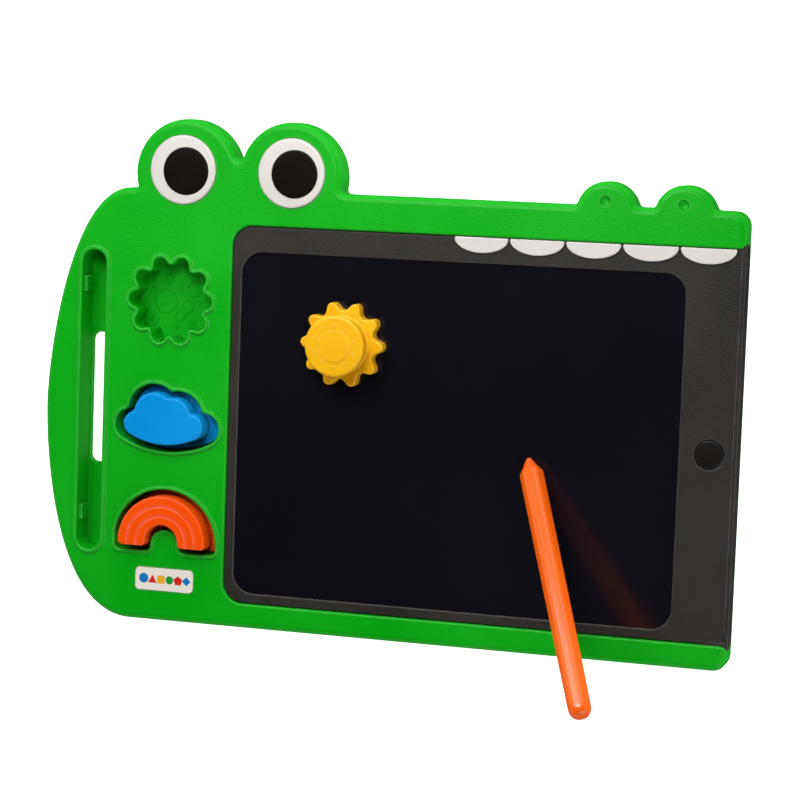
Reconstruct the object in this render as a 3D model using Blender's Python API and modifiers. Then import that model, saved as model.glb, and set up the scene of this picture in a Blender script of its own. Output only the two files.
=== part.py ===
"""Kids drawing tablet shaped like an animal's head, with stamps and a stylus.

The tablet lies on its back. X runs along it to the snout, Y up its face, Z out of its face.
The origin is on the back plane, under the centre of the screen window.
Sizes here are in millimetres, and MM turns them into Blender's metres.
"""

import math

import bmesh
import bpy
from mathutils import Vector

MM = 0.001
GAP = 0.3

# Levels, measured from the back plane
FACE_Z = 15.6
BEZEL_Z = 14.5
SCREEN_Z = 13.6
FLOOR_Z = 3.2
SHELL_SPLIT_Z = 5.0
CASE_SPLIT_Z = 9.0
WALL = 2.4
POCKET_WALL = 2.0
FACE_THICK = 2.2
PLATE_THICK = 1.6
FACE_EDGE_R = 3.4
BACK_EDGE_R = 4.0

# How far a cutter runs past the surface it opens, and a joined piece sinks into the one it joins
OVERRUN = 1.0
SINK = 0.6

# Outline of the head
LEFT_X = -197.0
RIGHT_X = 127.6
BOTTOM_Y = -94.8
TOP_Y = 106.3
SHOULDER_Y = 105.3
CHEEK_Y = 3.4
CORNER_R = 6.5
EYE_BUMPS = ((-130.2, 112.6, 24.8), (-80.2, 113.0, 24.5))
EYE_NOTCH_R = 2.0
NOSE_BUMPS = ((65.1, 103.3, 13.7), (99.8, 103.0, 13.7))
BUMP_FILLET = 2.0

# Screen and tablet
WINDOW_X = 102.0
WINDOW_Y = 78.4
WINDOW_R = 9.5
JAW_LEFT = -106.7
JAW_BOTTOM = -83.3
JAW_TOP = 90.3
JAW_R = 9.5
LIP_R = 3.6

# Pockets: rim centre lines
RIM_R = 1.0
RIM_H = 0.9
HOLE_INSET = 0.8
SUN_POCKET = (-135.9, 54.4)
SUN_LOBES = 10
SUN_LOBE_CENTRE = 16.9
SUN_LOBE_R = 4.2
SUN_VALLEY_CENTRE = 18.3
SUN_VALLEY_R = 1.15
CLOUD_LOBES = ((-118.0, -4.0, 8.2), (-130.3, 1.2, 12.4), (-142.3, 3.2, 13.1), (-154.2, -3.8, 7.8))
CLOUD_BASE_R = 48.2
CLOUD_NOTCH_R = 1.3
RAINBOW = (-135.4, -58.0)
RAINBOW_R = 25.6
RAINBOW_ARCH_R = 6.3
RAINBOW_ARCH_DROP = 0.8
RAINBOW_FOOT = 4.8
RAINBOW_CORNER_R = 3.0
CHANNEL_X = -173.6
CHANNEL_HALF = 5.9
CHANNEL_LOW = -63.7
CHANNEL_HIGH = 76.0
SLOT_LOW = -24.0
SLOT_HIGH = 37.0
SLOT_HALF = 5.05
SLOT_R = 3.5
NUB_SPANS = ((56.3, 63.6), (-50.6, -43.4))
NUB_DEPTH = 1.3
NUB_LEVELS = (6.5, 13.0)
NUB_CORNER_R = 0.4

# Stamps
STAMP_H = 18.0
STAMP_BASE_H = 6.4
STAMP_INSET = 1.7
STAMP_WALL = 1.8
STAMP_EDGE_R = 0.9
POCKET_STAMP_INSET = 1.5
PLATE_INSET = 3.0
RAINBOW_PLATE_INSET = 2.8
PLATE_H = 1.4
GRIP_LOW = 5.2
SUN_HOLLOW_R = 13.2
CLOUD_HOLLOW_INSET = 4.2
RAINBOW_HOLLOW = (21.2, 10.5, 0.6, 0.5)
SUN_REST = (-51.9, 39.2)
SUN_TURN = math.radians(-1.4)
KNOB_FOOT_R = 12.3
KNOB_R = 13.8
CLOUD_GRIP_CENTRE = (-135.8, 0.2)
CLOUD_GRIP_SCALE = 0.735
RAINBOW_GRIP_R = 21.3
RAINBOW_GRIP_ARCH_R = 7.9
RAINBOW_GRIP_Y = -57.0
RAINBOW_GRIP_FOOT = 2.3
RAINBOW_GRIP_CORNER_R = 2.2

# Stylus, drawn along its own axis from the centre of its round tip
STYLUS_TIP = (35.7, -7.9, 15.5)
STYLUS_AZIMUTH = math.radians(-64.6)
STYLUS_ELEVATION = math.radians(36.5)
STYLUS_LENGTH = 131.2
STYLUS_TIP_R = 1.6
STYLUS_CONE = 6.6
STYLUS_FRONT_R = 5.4
STYLUS_BACK_R = 5.0
STYLUS_EDGE_R = 1.9
STYLUS_ROLL = 17

# Face details
EYES = {"left": (-131.3, 114.3, 1.65, -0.6), "right": (-79.3, 114.7, 1.7, -0.4)}
EYE_R = 15.7
EYE_SEAT = 0.4
PUPIL_R = 10.85
PUPIL_SEAT = 0.8
NOSTRIL_SHIFT = (-0.2, 5.0)
NOSTRIL_BALL_R = 2.7
NOSTRIL_BALL_RISE = 1.4
TOOTH_CENTRES = (9.9, 35.2, 60.5, 85.9, 111.3)
TOOTH_HALF = 12.25
TOOTH_DEPTH = 6.9
TOOTH_H = 0.9
BADGE = (-135.2, -75.2, 28.4, 10.6)
BADGE_R = 2.0
BADGE_H = 0.3
BUTTON = (115.5, 0.3)
BUTTON_R = 6.2
BUTTON_HOLE_R = 6.6
BUTTON_FLANGE = 1.6
BUTTON_FLANGE_H = 0.8
BUTTON_LOW = 11.7
BUTTON_TRAVEL = 0.8
DOME_LOW = 9.9

# Inside the tablet: the writing panel, its backing plate and the circuit board on four posts
PANEL_X = 103.6
PANEL_Y = 80.2
PANEL_R = 2.0
PANEL_H = 1.1
BACKING_H = 1.2
CASE_WALL = 2.0
CASE_FLOOR = 1.7
BOARD_BOX = (88.5, 122, -57, 20)
BOARD_LEVELS = (8.4, 9.6)
BOARD_POSTS = ((93, 16), (118, 16), (93, -18), (118, -18))
POST_R = 2.0

# Power and fasteners
CELL = (98.0, -40.0)
CELL_R = 10.0
CELL_H = 3.2
CELL_LOW = 4.4
CELL_WELL_R = 11.4
CELL_OPENING_R = 12.2
CLIP_HALF = (9.0, 3.0)
CLIP_LEVELS = (7.8, 8.15)
WELL_TOP = 7.8
DOOR_SIZE = (44.0, 30.0)
DOOR_SHIFT = 4.0
DOOR_R = 3.0
DOOR_H = 1.7
DOOR_SCREW_X = 17.0
DOOR_SCREW_TIP = 6.8
COLLAR_H = 4.1
FRAME_SCREWS = ((-187.3, 32), (-187.3, -32), (-105, 101), (20, 98.3), (110, 98.3), (-145, -86),
                (0, -88.5), (112, -88.5))
TABLET_SCREWS = ((-95, 84.6), (10, 84.6), (115, 82), (115, -72))
BOSS_R = 2.7
PILOT_R = 1.3
CLEARANCE_R = 1.6
COUNTERBORE = 1.6
HEAD_R = 2.7
HEAD_H = 1.0
SHAFT_R = 1.0
POINT_H = 1.6
FRAME_SCREW_TIP = 11.0
TABLET_SCREW_TIP = 11.4

GREEN = ("moulded_green", (0.012, 0.42, 0.022), 0.5)
DARK = ("grained_black", (0.028, 0.026, 0.022), 0.6)
WHITE = ("tooth_white", (0.72, 0.70, 0.66), 0.4)
GLOSS_BLACK = ("gloss_black", (0.008, 0.007, 0.006), 0.15)
SCREEN = ("screen_glass", (0.004, 0.005, 0.009), 0.06)
YELLOW = ("sun_yellow", (0.95, 0.50, 0.01), 0.45)
BLUE = ("cloud_blue", (0.003, 0.25, 0.72), 0.45)
ORANGE = ("rainbow_orange", (0.95, 0.08, 0.006), 0.45)
PEN = ("stylus_orange", (1.0, 0.14, 0.02), 0.35)
PAPER = ("label_cream", (0.85, 0.82, 0.74), 0.6)
STEEL = ("screw_steel", (0.55, 0.55, 0.56), 0.3)
BOARD = ("board_green", (0.01, 0.12, 0.05), 0.5)
SILICONE = ("silicone_grey", (0.35, 0.35, 0.36), 0.7)
PLATE_GREY = ("plate_grey", (0.2, 0.2, 0.21), 0.6)

CHORD_ERROR = 0.22


# ---------------------------------------------------------------- scene and materials

def clear_scene():
    for thing in list(bpy.data.objects):
        bpy.data.objects.remove(thing, do_unlink=True)


def new_collection(name):
    collection = bpy.data.collections.new(name)
    bpy.context.scene.collection.children.link(collection)
    return collection


def material_of(look):
    name, colour, roughness = look
    found = bpy.data.materials.get(name)
    if found:
        return found
    material = bpy.data.materials.new(name)
    material.use_nodes = True
    shader = material.node_tree.nodes["Principled BSDF"]
    shader.inputs["Base Color"].default_value = (*colour, 1.0)
    shader.inputs["Roughness"].default_value = roughness
    shader.inputs["Metallic"].default_value = 1.0 if look is STEEL else 0.0
    material.diffuse_color = (*colour, 1.0)
    return material


# ---------------------------------------------------------------- flat outlines, anticlockwise

def arc(x, y, radius, start, end):
    """Points from angle start to angle end, in degrees, clockwise where end is lower."""
    bend = 2 * math.acos(max(0.0, 1 - CHORD_ERROR / max(radius, 2 * CHORD_ERROR)))
    count = max(2, math.ceil(abs(math.radians(end - start)) / bend))
    angles = [math.radians(start + (end - start) * step / count) for step in range(count + 1)]
    return [(x + radius * math.cos(a), y + radius * math.sin(a)) for a in angles]


def bezier(points, count=10):
    curve = []
    for step in range(count + 1):
        t = step / count
        weights = ((1 - t) ** 3, 3 * (1 - t) ** 2 * t, 3 * (1 - t) * t ** 2, t ** 3)
        curve.append(tuple(sum(w * p[axis] for w, p in zip(weights, points)) for axis in (0, 1)))
    return curve


def tidy(points):
    """The outline without neighbours closer than a hundredth of a millimetre."""
    kept = []
    for point in points:
        if not kept or math.dist(point, kept[-1]) > 0.01:
            kept.append(point)
    if math.dist(kept[0], kept[-1]) <= 0.01:
        kept.pop()
    return kept


def shrink(points, distance):
    """The outline moved inwards by distance, along the mean normal at each corner."""
    moved = []
    for index, point in enumerate(points):
        before = Vector(points[index - 1])
        here = Vector(point)
        after = Vector(points[(index + 1) % len(points)])
        first = (here - before).normalized()
        second = (after - here).normalized()
        inward = Vector((-first.y - second.y, first.x + second.x)).normalized()
        slope = max(0.5, inward.dot(Vector((-first.y, first.x))))
        moved.append(tuple(here + inward * distance / slope))
    return moved


def circle(x, y, radius):
    return tidy(arc(x, y, radius, 0, 360))


def rounded_box(left, right, low, high, radius):
    return tidy(arc(right - radius, low + radius, radius, -90, 0)
                + arc(right - radius, high - radius, radius, 0, 90)
                + arc(left + radius, high - radius, radius, 90, 180)
                + arc(left + radius, low + radius, radius, 180, 270))


def angle_from(centre, target):
    return math.degrees(math.atan2(target[1] - centre[1], target[0] - centre[0]))


def bump_side(x, y, radius, base_y, fillet):
    """Right half of a round bump standing on a level edge: its fillet, then its arc to the top."""
    rise = base_y + fillet
    reach = math.sqrt((radius + fillet) ** 2 - (rise - y) ** 2)
    foot = (x + reach, rise)
    turn = angle_from(foot, (x, y))
    if turn > -90:
        turn -= 360
    return arc(*foot, fillet, -90, turn)[:-1] + arc(x, y, radius, angle_from((x, y), foot), 90)


def mirrored(points, x):
    return [(2 * x - px, py) for px, py in reversed(points)]


def joining_centre(first, second, fillet, side=1):
    """Centre of the circle of radius fillet that touches both circles from outside."""
    (ax, ay, ar), (bx, by, br) = first, second
    across = Vector((bx - ax, by - ay))
    length = across.length
    along = ((ar + fillet) ** 2 - (br + fillet) ** 2 + length ** 2) / (2 * length)
    out = math.sqrt(max(0.0, (ar + fillet) ** 2 - along ** 2))
    unit = across / length
    return (ax + unit.x * along + side * unit.y * out, ay + unit.y * along - side * unit.x * out)


def notch_arc(centre, radius, first, second):
    """Concave arc round centre, from the circle first to the circle second."""
    start = angle_from(centre, first)
    end = angle_from(centre, second)
    while end > start:
        end -= 360
    return arc(*centre, radius, start, end)


def head_outline():
    right_eye, left_eye = EYE_BUMPS[1], EYE_BUMPS[0]
    notch = joining_centre(right_eye, left_eye, EYE_NOTCH_R)
    cheek = (LEFT_X, CHEEK_Y)
    points = bezier((cheek, (LEFT_X, CHEEK_Y - 26), (-190.5, BOTTOM_Y), (-152.9, BOTTOM_Y)))
    points += arc(RIGHT_X - CORNER_R, BOTTOM_Y + CORNER_R, CORNER_R, -90, 0)
    points += arc(RIGHT_X - CORNER_R, TOP_Y - CORNER_R, CORNER_R, 0, 90)
    for x, y, radius in reversed(NOSE_BUMPS):
        side = bump_side(x, y, radius, TOP_Y, BUMP_FILLET)
        points += side + mirrored(side, x)
    points += bump_side(*right_eye, TOP_Y, BUMP_FILLET)
    points += arc(*right_eye, 90, angle_from(right_eye, notch))
    points += notch_arc(notch, EYE_NOTCH_R, right_eye, left_eye)
    points += arc(*left_eye, angle_from(left_eye, notch), 90)
    points += mirrored(bump_side(*left_eye, SHOULDER_Y, BUMP_FILLET / 2), left_eye[0])
    points += bezier(((-157.0, SHOULDER_Y), (-187.0, SHOULDER_Y), (LEFT_X, CHEEK_Y + 24), cheek))
    return tidy(points)


def jaw_outline(grow=0.0, right=RIGHT_X + 8, flared=True):
    """The opening for the tablet. It runs out of the right end, between two rounded lips."""
    left, low, high = JAW_LEFT - grow, JAW_BOTTOM - grow, JAW_TOP + grow
    radius = JAW_R + grow
    points = []
    if flared:
        points += arc(RIGHT_X - LIP_R, low - LIP_R, LIP_R, 90, 0)
        points += [(right, low - LIP_R), (right, high + LIP_R)]
        points += arc(RIGHT_X - LIP_R, high + LIP_R, LIP_R, 0, -90)
    else:
        points += [(right, low), (right, high)]
    points += arc(left + radius, high - radius, radius, 90, 180)
    points += arc(left + radius, low + radius, radius, 180, 270)
    return tidy(points)


def sun_outline(centre, grow=0.0, turn=0.0):
    """Round lobes and hollows in turn, joined by their common tangents."""
    lobe_r, valley_r = SUN_LOBE_R + grow, max(0.05, SUN_VALLEY_R - grow)
    half = math.pi / SUN_LOBES
    apart = Vector((SUN_VALLEY_CENTRE * math.cos(half) - SUN_LOBE_CENTRE,
                    SUN_VALLEY_CENTRE * math.sin(half)))
    lean = math.degrees(math.atan2(apart.y, apart.x) - math.acos((lobe_r + valley_r) / apart.length))
    points = []
    for index in range(SUN_LOBES):
        lobe = 2 * half * index + turn
        valley = lobe + half
        lobe_at = (centre[0] + SUN_LOBE_CENTRE * math.cos(lobe),
                   centre[1] + SUN_LOBE_CENTRE * math.sin(lobe))
        valley_at = (centre[0] + SUN_VALLEY_CENTRE * math.cos(valley),
                     centre[1] + SUN_VALLEY_CENTRE * math.sin(valley))
        points += arc(*lobe_at, lobe_r, math.degrees(lobe) - lean, math.degrees(lobe) + lean)
        swing = math.degrees(lobe) + lean + 180
        mirror = 2 * (math.degrees(valley) + 180) - swing
        points += arc(*valley_at, valley_r, swing, mirror)
    return tidy(points)


def cloud_outline(grow=0.0, scale=1.0, centre=(0.0, 0.0), shift=(0.0, 0.0)):
    """Four round lobes with notches between them, on one long shallow arc."""
    lobes = [(centre[0] + (x - centre[0]) * scale + shift[0],
              centre[1] + (y - centre[1]) * scale + shift[1], r * scale + grow)
             for x, y, r in CLOUD_LOBES]
    base_r = CLOUD_BASE_R * scale + grow
    notch_r = max(0.05, CLOUD_NOTCH_R * scale - grow)
    right, left = lobes[0], lobes[-1]
    base = joining_centre(left, right, -base_r, side=-1)
    notches = [joining_centre(a, b, notch_r) for a, b in zip(lobes, lobes[1:])]
    points = arc(*base, base_r, angle_from(base, left), angle_from(base, right))
    start = angle_from(base, right)
    for lobe, notch in zip(lobes, notches):
        following = lobes[lobes.index(lobe) + 1]
        end = angle_from(lobe, notch)
        while end < start:
            end += 360
        points += arc(*lobe, start, end)
        points += notch_arc(notch, notch_r, lobe, following)
        start = angle_from(following, notch)
    end = angle_from(base, left)
    while end < start:
        end += 360
    points += arc(*left, start, end)
    return tidy(points)


def rainbow_outline(centre, outer, arch, foot, corner, arch_drop=0.0):
    x, y = centre
    low = y - foot
    arch_y = y - arch_drop
    points = arc(x + outer - corner, low + corner, corner, -90, 0)
    points += arc(x, y, outer, 0, 180)
    points += arc(x - outer + corner, low + corner, corner, 180, 270)
    inner = min(corner, arch_y - low)
    points += arc(x - arch - inner, low + inner, inner, 270, 360)
    points += arc(x, arch_y, arch, 180, 0)
    points += arc(x + arch + inner, low + inner, inner, 180, 270)
    return tidy(points)


def rainbow_rim(grow=0.0):
    return rainbow_outline(RAINBOW, RAINBOW_R + grow, RAINBOW_ARCH_R - grow, RAINBOW_FOOT + grow,
                           max(0.4, RAINBOW_CORNER_R + grow), RAINBOW_ARCH_DROP)


def channel_outline(grow=0.0):
    return rounded_box(CHANNEL_X - CHANNEL_HALF - grow, CHANNEL_X + CHANNEL_HALF + grow,
                       CHANNEL_LOW - grow, CHANNEL_HIGH + grow, CHANNEL_HALF + grow)


def tooth_outline(x):
    top = JAW_TOP - GAP
    sweep = [math.radians(180 + 180 * step / 16) for step in range(17)]
    return [(x + TOOTH_HALF * math.cos(a), top + TOOTH_DEPTH * math.sin(a)) for a in sweep]


# ---------------------------------------------------------------- solids

def mesh_of(guide):
    """The mesh of an object as shown, its caps welded on, in the object's world place."""
    bpy.context.view_layer.update()
    shown = guide.evaluated_get(bpy.context.evaluated_depsgraph_get())
    mesh = bpy.data.meshes.new_from_object(shown)
    place = guide.matrix_world.copy()
    bpy.data.objects.remove(guide, do_unlink=True)
    shape = bmesh.new()
    shape.from_mesh(mesh)
    bmesh.ops.remove_doubles(shape, verts=shape.verts, dist=1e-6)
    bmesh.ops.transform(shape, matrix=place, verts=shape.verts)
    bpy.data.meshes.remove(mesh)
    return shape


def finish(shape, name, look=None, origin=(0.0, 0.0, 0.0)):
    """An object made of shape: a part with the given look, or a cutter without one."""
    bmesh.ops.recalc_face_normals(shape, faces=shape.faces)
    bmesh.ops.translate(shape, vec=Vector(origin) * -MM, verts=shape.verts)
    mesh = bpy.data.meshes.new(name)
    shape.to_mesh(mesh)
    shape.free()
    thing = bpy.data.objects.new(name, mesh)
    thing.location = Vector(origin) * MM
    if look:
        PARTS.objects.link(thing)
        mesh.materials.append(material_of(look))
    else:
        CUTTERS.objects.link(thing)
        thing.hide_render = True
        thing.display_type = "WIRE"
    return thing


def edges_at(shape, level):
    return [edge for edge in shape.edges
            if all(abs(vertex.co.z - level * MM) < 1e-6 for vertex in edge.verts)]


def flat_cap(shape, level):
    """Turns the triangles of a cap into one face, so that its edge bevels cleanly."""
    cap = [face for face in shape.faces
           if all(abs(vertex.co.z - level * MM) < 1e-6 for vertex in face.verts)]
    bmesh.ops.dissolve_faces(shape, faces=cap)


def extrusion(name, outline, low, high, look=None, round_top=0.0, round_low=0.0, segments=2,
              origin=(0.0, 0.0, 0.0)):
    curve = bpy.data.curves.new(name, "CURVE")
    curve.dimensions = "2D"
    curve.fill_mode = "BOTH"
    curve.extrude = (high - low) / 2 * MM
    spline = curve.splines.new("POLY")
    spline.points.add(len(outline) - 1)
    for point, (x, y) in zip(spline.points, outline):
        point.co = (x * MM, y * MM, 0.0, 1.0)
    spline.use_cyclic_u = True
    guide = bpy.data.objects.new(name + "_guide", curve)
    guide.location.z = (high + low) / 2 * MM
    CUTTERS.objects.link(guide)
    shape = mesh_of(guide)
    for level, radius in ((high, round_top), (low, round_low)):
        if radius:
            flat_cap(shape, level)
            bmesh.ops.bevel(shape, geom=edges_at(shape, level), offset=radius * MM,
                            segments=segments, profile=0.5, affect="EDGES", clamp_overlap=False)
    return finish(shape, name, look, origin)


def turned(name, profile, centre, look=None, steps=28):
    """A solid turned about Z from profile points of radius and height, listed from the top down."""
    mesh = bpy.data.meshes.new(name)
    points = [(radius * MM, 0.0, height * MM) for radius, height in profile]
    mesh.from_pydata(points, [(i, i + 1) for i in range(len(points) - 1)], [])
    guide = bpy.data.objects.new(name + "_guide", mesh)
    screw = guide.modifiers.new("turn", "SCREW")
    screw.steps = steps
    screw.render_steps = steps
    screw.use_merge_vertices = True
    screw.merge_threshold = 1e-5
    guide.location = Vector((centre[0], centre[1], 0.0)) * MM
    CUTTERS.objects.link(guide)
    return finish(mesh_of(guide), name, look, origin=(centre[0], centre[1], 0.0))


def cut(target, *cutters):
    BOOLEANS.extend((target, cutter, "DIFFERENCE") for cutter in cutters)


def join(target, *pieces):
    BOOLEANS.extend((target, piece, "UNION") for piece in pieces)


def add_booleans():
    """Adds the cuts and joins in order, once every shape is made, so that each is worked out once."""
    for target, other, operation in BOOLEANS:
        modifier = target.modifiers.new(other.name, "BOOLEAN")
        modifier.operation = operation
        modifier.object = other
        modifier.solver = "EXACT"


def rod(name, centre, radius, low, high, look=None):
    return extrusion(name, circle(*centre, radius), low, high, look,
                     origin=(*centre, 0.0) if look else (0.0, 0.0, 0.0))


# ---------------------------------------------------------------- the green shells

def front_shell():
    outline = head_outline()
    shell = extrusion("front_shell", outline, SHELL_SPLIT_Z + GAP, FACE_Z, GREEN,
                      round_top=FACE_EDGE_R)
    inside_z = FACE_Z - FACE_THICK
    foot = FLOOR_Z + GAP
    cut(shell, extrusion("shell_hollow", shrink(outline, WALL), SHELL_SPLIT_Z - OVERRUN, inside_z))
    walls = {
        "sun": circle(*SUN_POCKET, SUN_LOBE_CENTRE + SUN_LOBE_R + POCKET_WALL - HOLE_INSET),
        "cloud": cloud_outline(grow=POCKET_WALL - HOLE_INSET),
        "rainbow": rainbow_rim(grow=POCKET_WALL - HOLE_INSET),
        "channel": channel_outline(grow=POCKET_WALL),
        "jaw": jaw_outline(grow=POCKET_WALL, right=RIGHT_X - OVERRUN, flared=False),
    }
    for name, wall in walls.items():
        join(shell, extrusion(name + "_wall", wall, foot, inside_z + 2 * SINK))
    for index, centre in enumerate(FRAME_SCREWS, 1):
        join(shell, rod(f"frame_boss_{index}", centre, BOSS_R, foot, inside_z + SINK))
    rims = {
        "sun": sun_outline(SUN_POCKET, RIM_R),
        "cloud": cloud_outline(RIM_R),
        "rainbow": rainbow_rim(RIM_R),
        "channel": channel_outline(grow=2 * RIM_R),
    }
    for name, rim in rims.items():
        join(shell, extrusion(name + "_rim", rim, FACE_Z - SINK, FACE_Z + RIM_H,
                              round_top=RIM_R / 2, segments=1))
    holes = {
        "sun": sun_outline(SUN_POCKET, -HOLE_INSET),
        "cloud": cloud_outline(-HOLE_INSET),
        "rainbow": rainbow_rim(-HOLE_INSET),
        "channel": channel_outline(),
        "jaw": jaw_outline(),
    }
    for name, hole in holes.items():
        cut(shell, extrusion(name + "_hole", hole, foot - OVERRUN, FACE_Z + RIM_H + OVERRUN))
    for index, centre in enumerate(FRAME_SCREWS, 1):
        cut(shell, rod(f"frame_pilot_{index}", centre, PILOT_R, foot - OVERRUN,
                       FRAME_SCREW_TIP + OVERRUN))
    wall_x = CHANNEL_X - CHANNEL_HALF
    for index, (low, high) in enumerate(NUB_SPANS, 1):
        nub = rounded_box(wall_x - SINK, wall_x + NUB_DEPTH, low, high, NUB_CORNER_R)
        join(shell, extrusion(f"channel_nub_{index}", nub, *NUB_LEVELS))
    for side, (x, y, _, _) in EYES.items():
        cut(shell, rod(f"eye_seat_{side}", (x, y), EYE_R + GAP, FACE_Z - EYE_SEAT - GAP,
                       FACE_Z + OVERRUN))
    for index, (x, y, _) in enumerate(NOSE_BUMPS, 1):
        cut(shell, nostril(f"nostril_{index}", (x + NOSTRIL_SHIFT[0], y + NOSTRIL_SHIFT[1])))
    cut(shell, extrusion("badge_seat", badge_outline(GAP), FACE_Z - GAP, FACE_Z + OVERRUN))


def nostril(name, centre):
    """A ball that leaves a round dimple in the face."""
    middle = FACE_Z + NOSTRIL_BALL_RISE
    turns = [math.radians(angle) for angle in range(0, 181, 20)]
    profile = [(NOSTRIL_BALL_R * math.sin(turn), middle + NOSTRIL_BALL_R * math.cos(turn))
               for turn in turns]
    return turned(name, profile, centre, steps=20)


def back_shell():
    outline = head_outline()
    shell = extrusion("back_shell", outline, 0.0, SHELL_SPLIT_Z, GREEN, round_low=BACK_EDGE_R)
    inside_z = FLOOR_Z + OVERRUN
    cut(shell, extrusion("back_hollow", shrink(outline, WALL), FLOOR_Z, SHELL_SPLIT_Z + OVERRUN))
    jaw_room = jaw_outline(grow=POCKET_WALL + SINK, flared=False)
    cut(shell, extrusion("back_jaw", jaw_room, FLOOR_Z, SHELL_SPLIT_Z + OVERRUN))
    slot = rounded_box(CHANNEL_X - SLOT_HALF, CHANNEL_X + SLOT_HALF, SLOT_LOW, SLOT_HIGH, SLOT_R)
    cut(shell, extrusion("through_slot", slot, -OVERRUN, inside_z))
    for index, centre in enumerate(FRAME_SCREWS + TABLET_SCREWS, 1):
        cut(shell, screw_hole(f"back_hole_{index}", centre))
    recess_z = DOOR_H + 2 * GAP
    cut(shell, extrusion("door_recess", door_outline(GAP), -OVERRUN, recess_z),
        rod("cell_opening", CELL, CELL_OPENING_R, recess_z - OVERRUN, inside_z),
        rod("door_screw_hole", door_screw(), CLEARANCE_R, recess_z - OVERRUN, inside_z))


def screw_hole(name, centre):
    """A clearance hole with a counterbore for the head, open downwards."""
    top = FLOOR_Z + OVERRUN
    seat_r = HEAD_R + GAP
    profile = [(0.0, top), (CLEARANCE_R, top), (CLEARANCE_R, COUNTERBORE), (seat_r, COUNTERBORE),
               (seat_r, -OVERRUN), (0.0, -OVERRUN)]
    return turned(name, profile, centre, steps=12)


def door_outline(grow=0.0):
    half_x, half_y = DOOR_SIZE[0] / 2 + grow, DOOR_SIZE[1] / 2 + grow
    x, y = CELL[0] + DOOR_SHIFT, CELL[1]
    return rounded_box(x - half_x, x + half_x, y - half_y, y + half_y, DOOR_R + grow)


def door_screw():
    return (CELL[0] + DOOR_SCREW_X, CELL[1])


def screw(name, centre, low, tip):
    """A pan-head screw standing up from its head."""
    profile = [(0.0, tip), (SHAFT_R, tip - POINT_H), (SHAFT_R, low + HEAD_H), (HEAD_R, low + HEAD_H),
               (HEAD_R, low + 0.4), (HEAD_R - 0.6, low), (0.0, low)]
    turned(name, profile, centre, STEEL, steps=10)


# ---------------------------------------------------------------- the drawing tablet

def tablet_outline(inset=0.0):
    return rounded_box(JAW_LEFT + GAP + inset, RIGHT_X - inset, JAW_BOTTOM + GAP + inset,
                       JAW_TOP - GAP - inset, max(1.0, JAW_R - 7.0 - inset))


def tablet_bezel():
    inside_z = BEZEL_Z - PLATE_THICK
    low = CASE_SPLIT_Z + GAP
    left_round = jaw_outline(grow=-GAP, right=RIGHT_X, flared=False)
    bezel = extrusion("tablet_bezel", left_round, low, BEZEL_Z, DARK, round_top=0.7)
    cut(bezel, extrusion("bezel_hollow", tablet_outline(CASE_WALL), low - OVERRUN, inside_z))
    for index, centre in enumerate(TABLET_SCREWS, 1):
        join(bezel, rod(f"bezel_boss_{index}", centre, BOSS_R, low, inside_z + SINK))
        cut(bezel, rod(f"bezel_pilot_{index}", centre, PILOT_R, low - OVERRUN,
                       TABLET_SCREW_TIP + OVERRUN))
    window = rounded_box(-WINDOW_X, WINDOW_X, -WINDOW_Y, WINDOW_Y, WINDOW_R)
    cut(bezel, extrusion("panel_seat", panel_outline(GAP), low - OVERRUN, SCREEN_Z + GAP),
        extrusion("window", window, SCREEN_Z - OVERRUN, BEZEL_Z + OVERRUN),
        rod("button_hole", BUTTON, BUTTON_HOLE_R, inside_z - OVERRUN, BEZEL_Z + OVERRUN))


def panel_outline(grow=0.0):
    return rounded_box(-PANEL_X - grow, PANEL_X + grow, -PANEL_Y - grow, PANEL_Y + grow, PANEL_R)


def tablet_rear_case():
    low, top = FLOOR_Z + GAP, CASE_SPLIT_Z
    floor = low + CASE_FLOOR
    foot = floor - SINK
    outline = jaw_outline(grow=-GAP, right=RIGHT_X, flared=False)
    case = extrusion("tablet_rear_case", outline, low, top, DARK)
    cut(case, extrusion("case_hollow", tablet_outline(CASE_WALL), floor, top + OVERRUN))
    join(case, rod("cell_wall", CELL, CELL_WELL_R + CASE_WALL, foot, WELL_TOP),
         rod("door_screw_boss", door_screw(), BOSS_R, foot, WELL_TOP))
    for index, centre in enumerate(TABLET_SCREWS, 1):
        join(case, rod(f"case_boss_{index}", centre, BOSS_R, foot, top))
        cut(case, rod(f"case_hole_{index}", centre, CLEARANCE_R, low - OVERRUN, top + OVERRUN))
    for index, centre in enumerate(BOARD_POSTS, 1):
        join(case, rod(f"board_post_{index}", centre, POST_R, foot, BOARD_LEVELS[0] - GAP))
    cut(case, rod("cell_well", CELL, CELL_WELL_R, low - OVERRUN, WELL_TOP + OVERRUN),
        rod("door_screw_pilot", door_screw(), PILOT_R, low - OVERRUN, DOOR_SCREW_TIP + GAP))


def electronics():
    panel_low = SCREEN_Z - PANEL_H
    extrusion("lcd_writing_panel", panel_outline(), panel_low, SCREEN_Z, SCREEN)
    extrusion("lcd_backing_plate", panel_outline(-GAP), panel_low - GAP - BACKING_H,
              panel_low - GAP, PLATE_GREY)
    extrusion("circuit_board", rounded_box(*BOARD_BOX, 1.5), *BOARD_LEVELS, BOARD)
    rod("coin_cell", CELL, CELL_R, CELL_LOW, CELL_LOW + CELL_H, STEEL)
    clip = rounded_box(CELL[0] - CLIP_HALF[0], CELL[0] + CLIP_HALF[0],
                       CELL[1] - CLIP_HALF[1], CELL[1] + CLIP_HALF[1], 1.0)
    extrusion("battery_clip", clip, *CLIP_LEVELS, STEEL)


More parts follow.
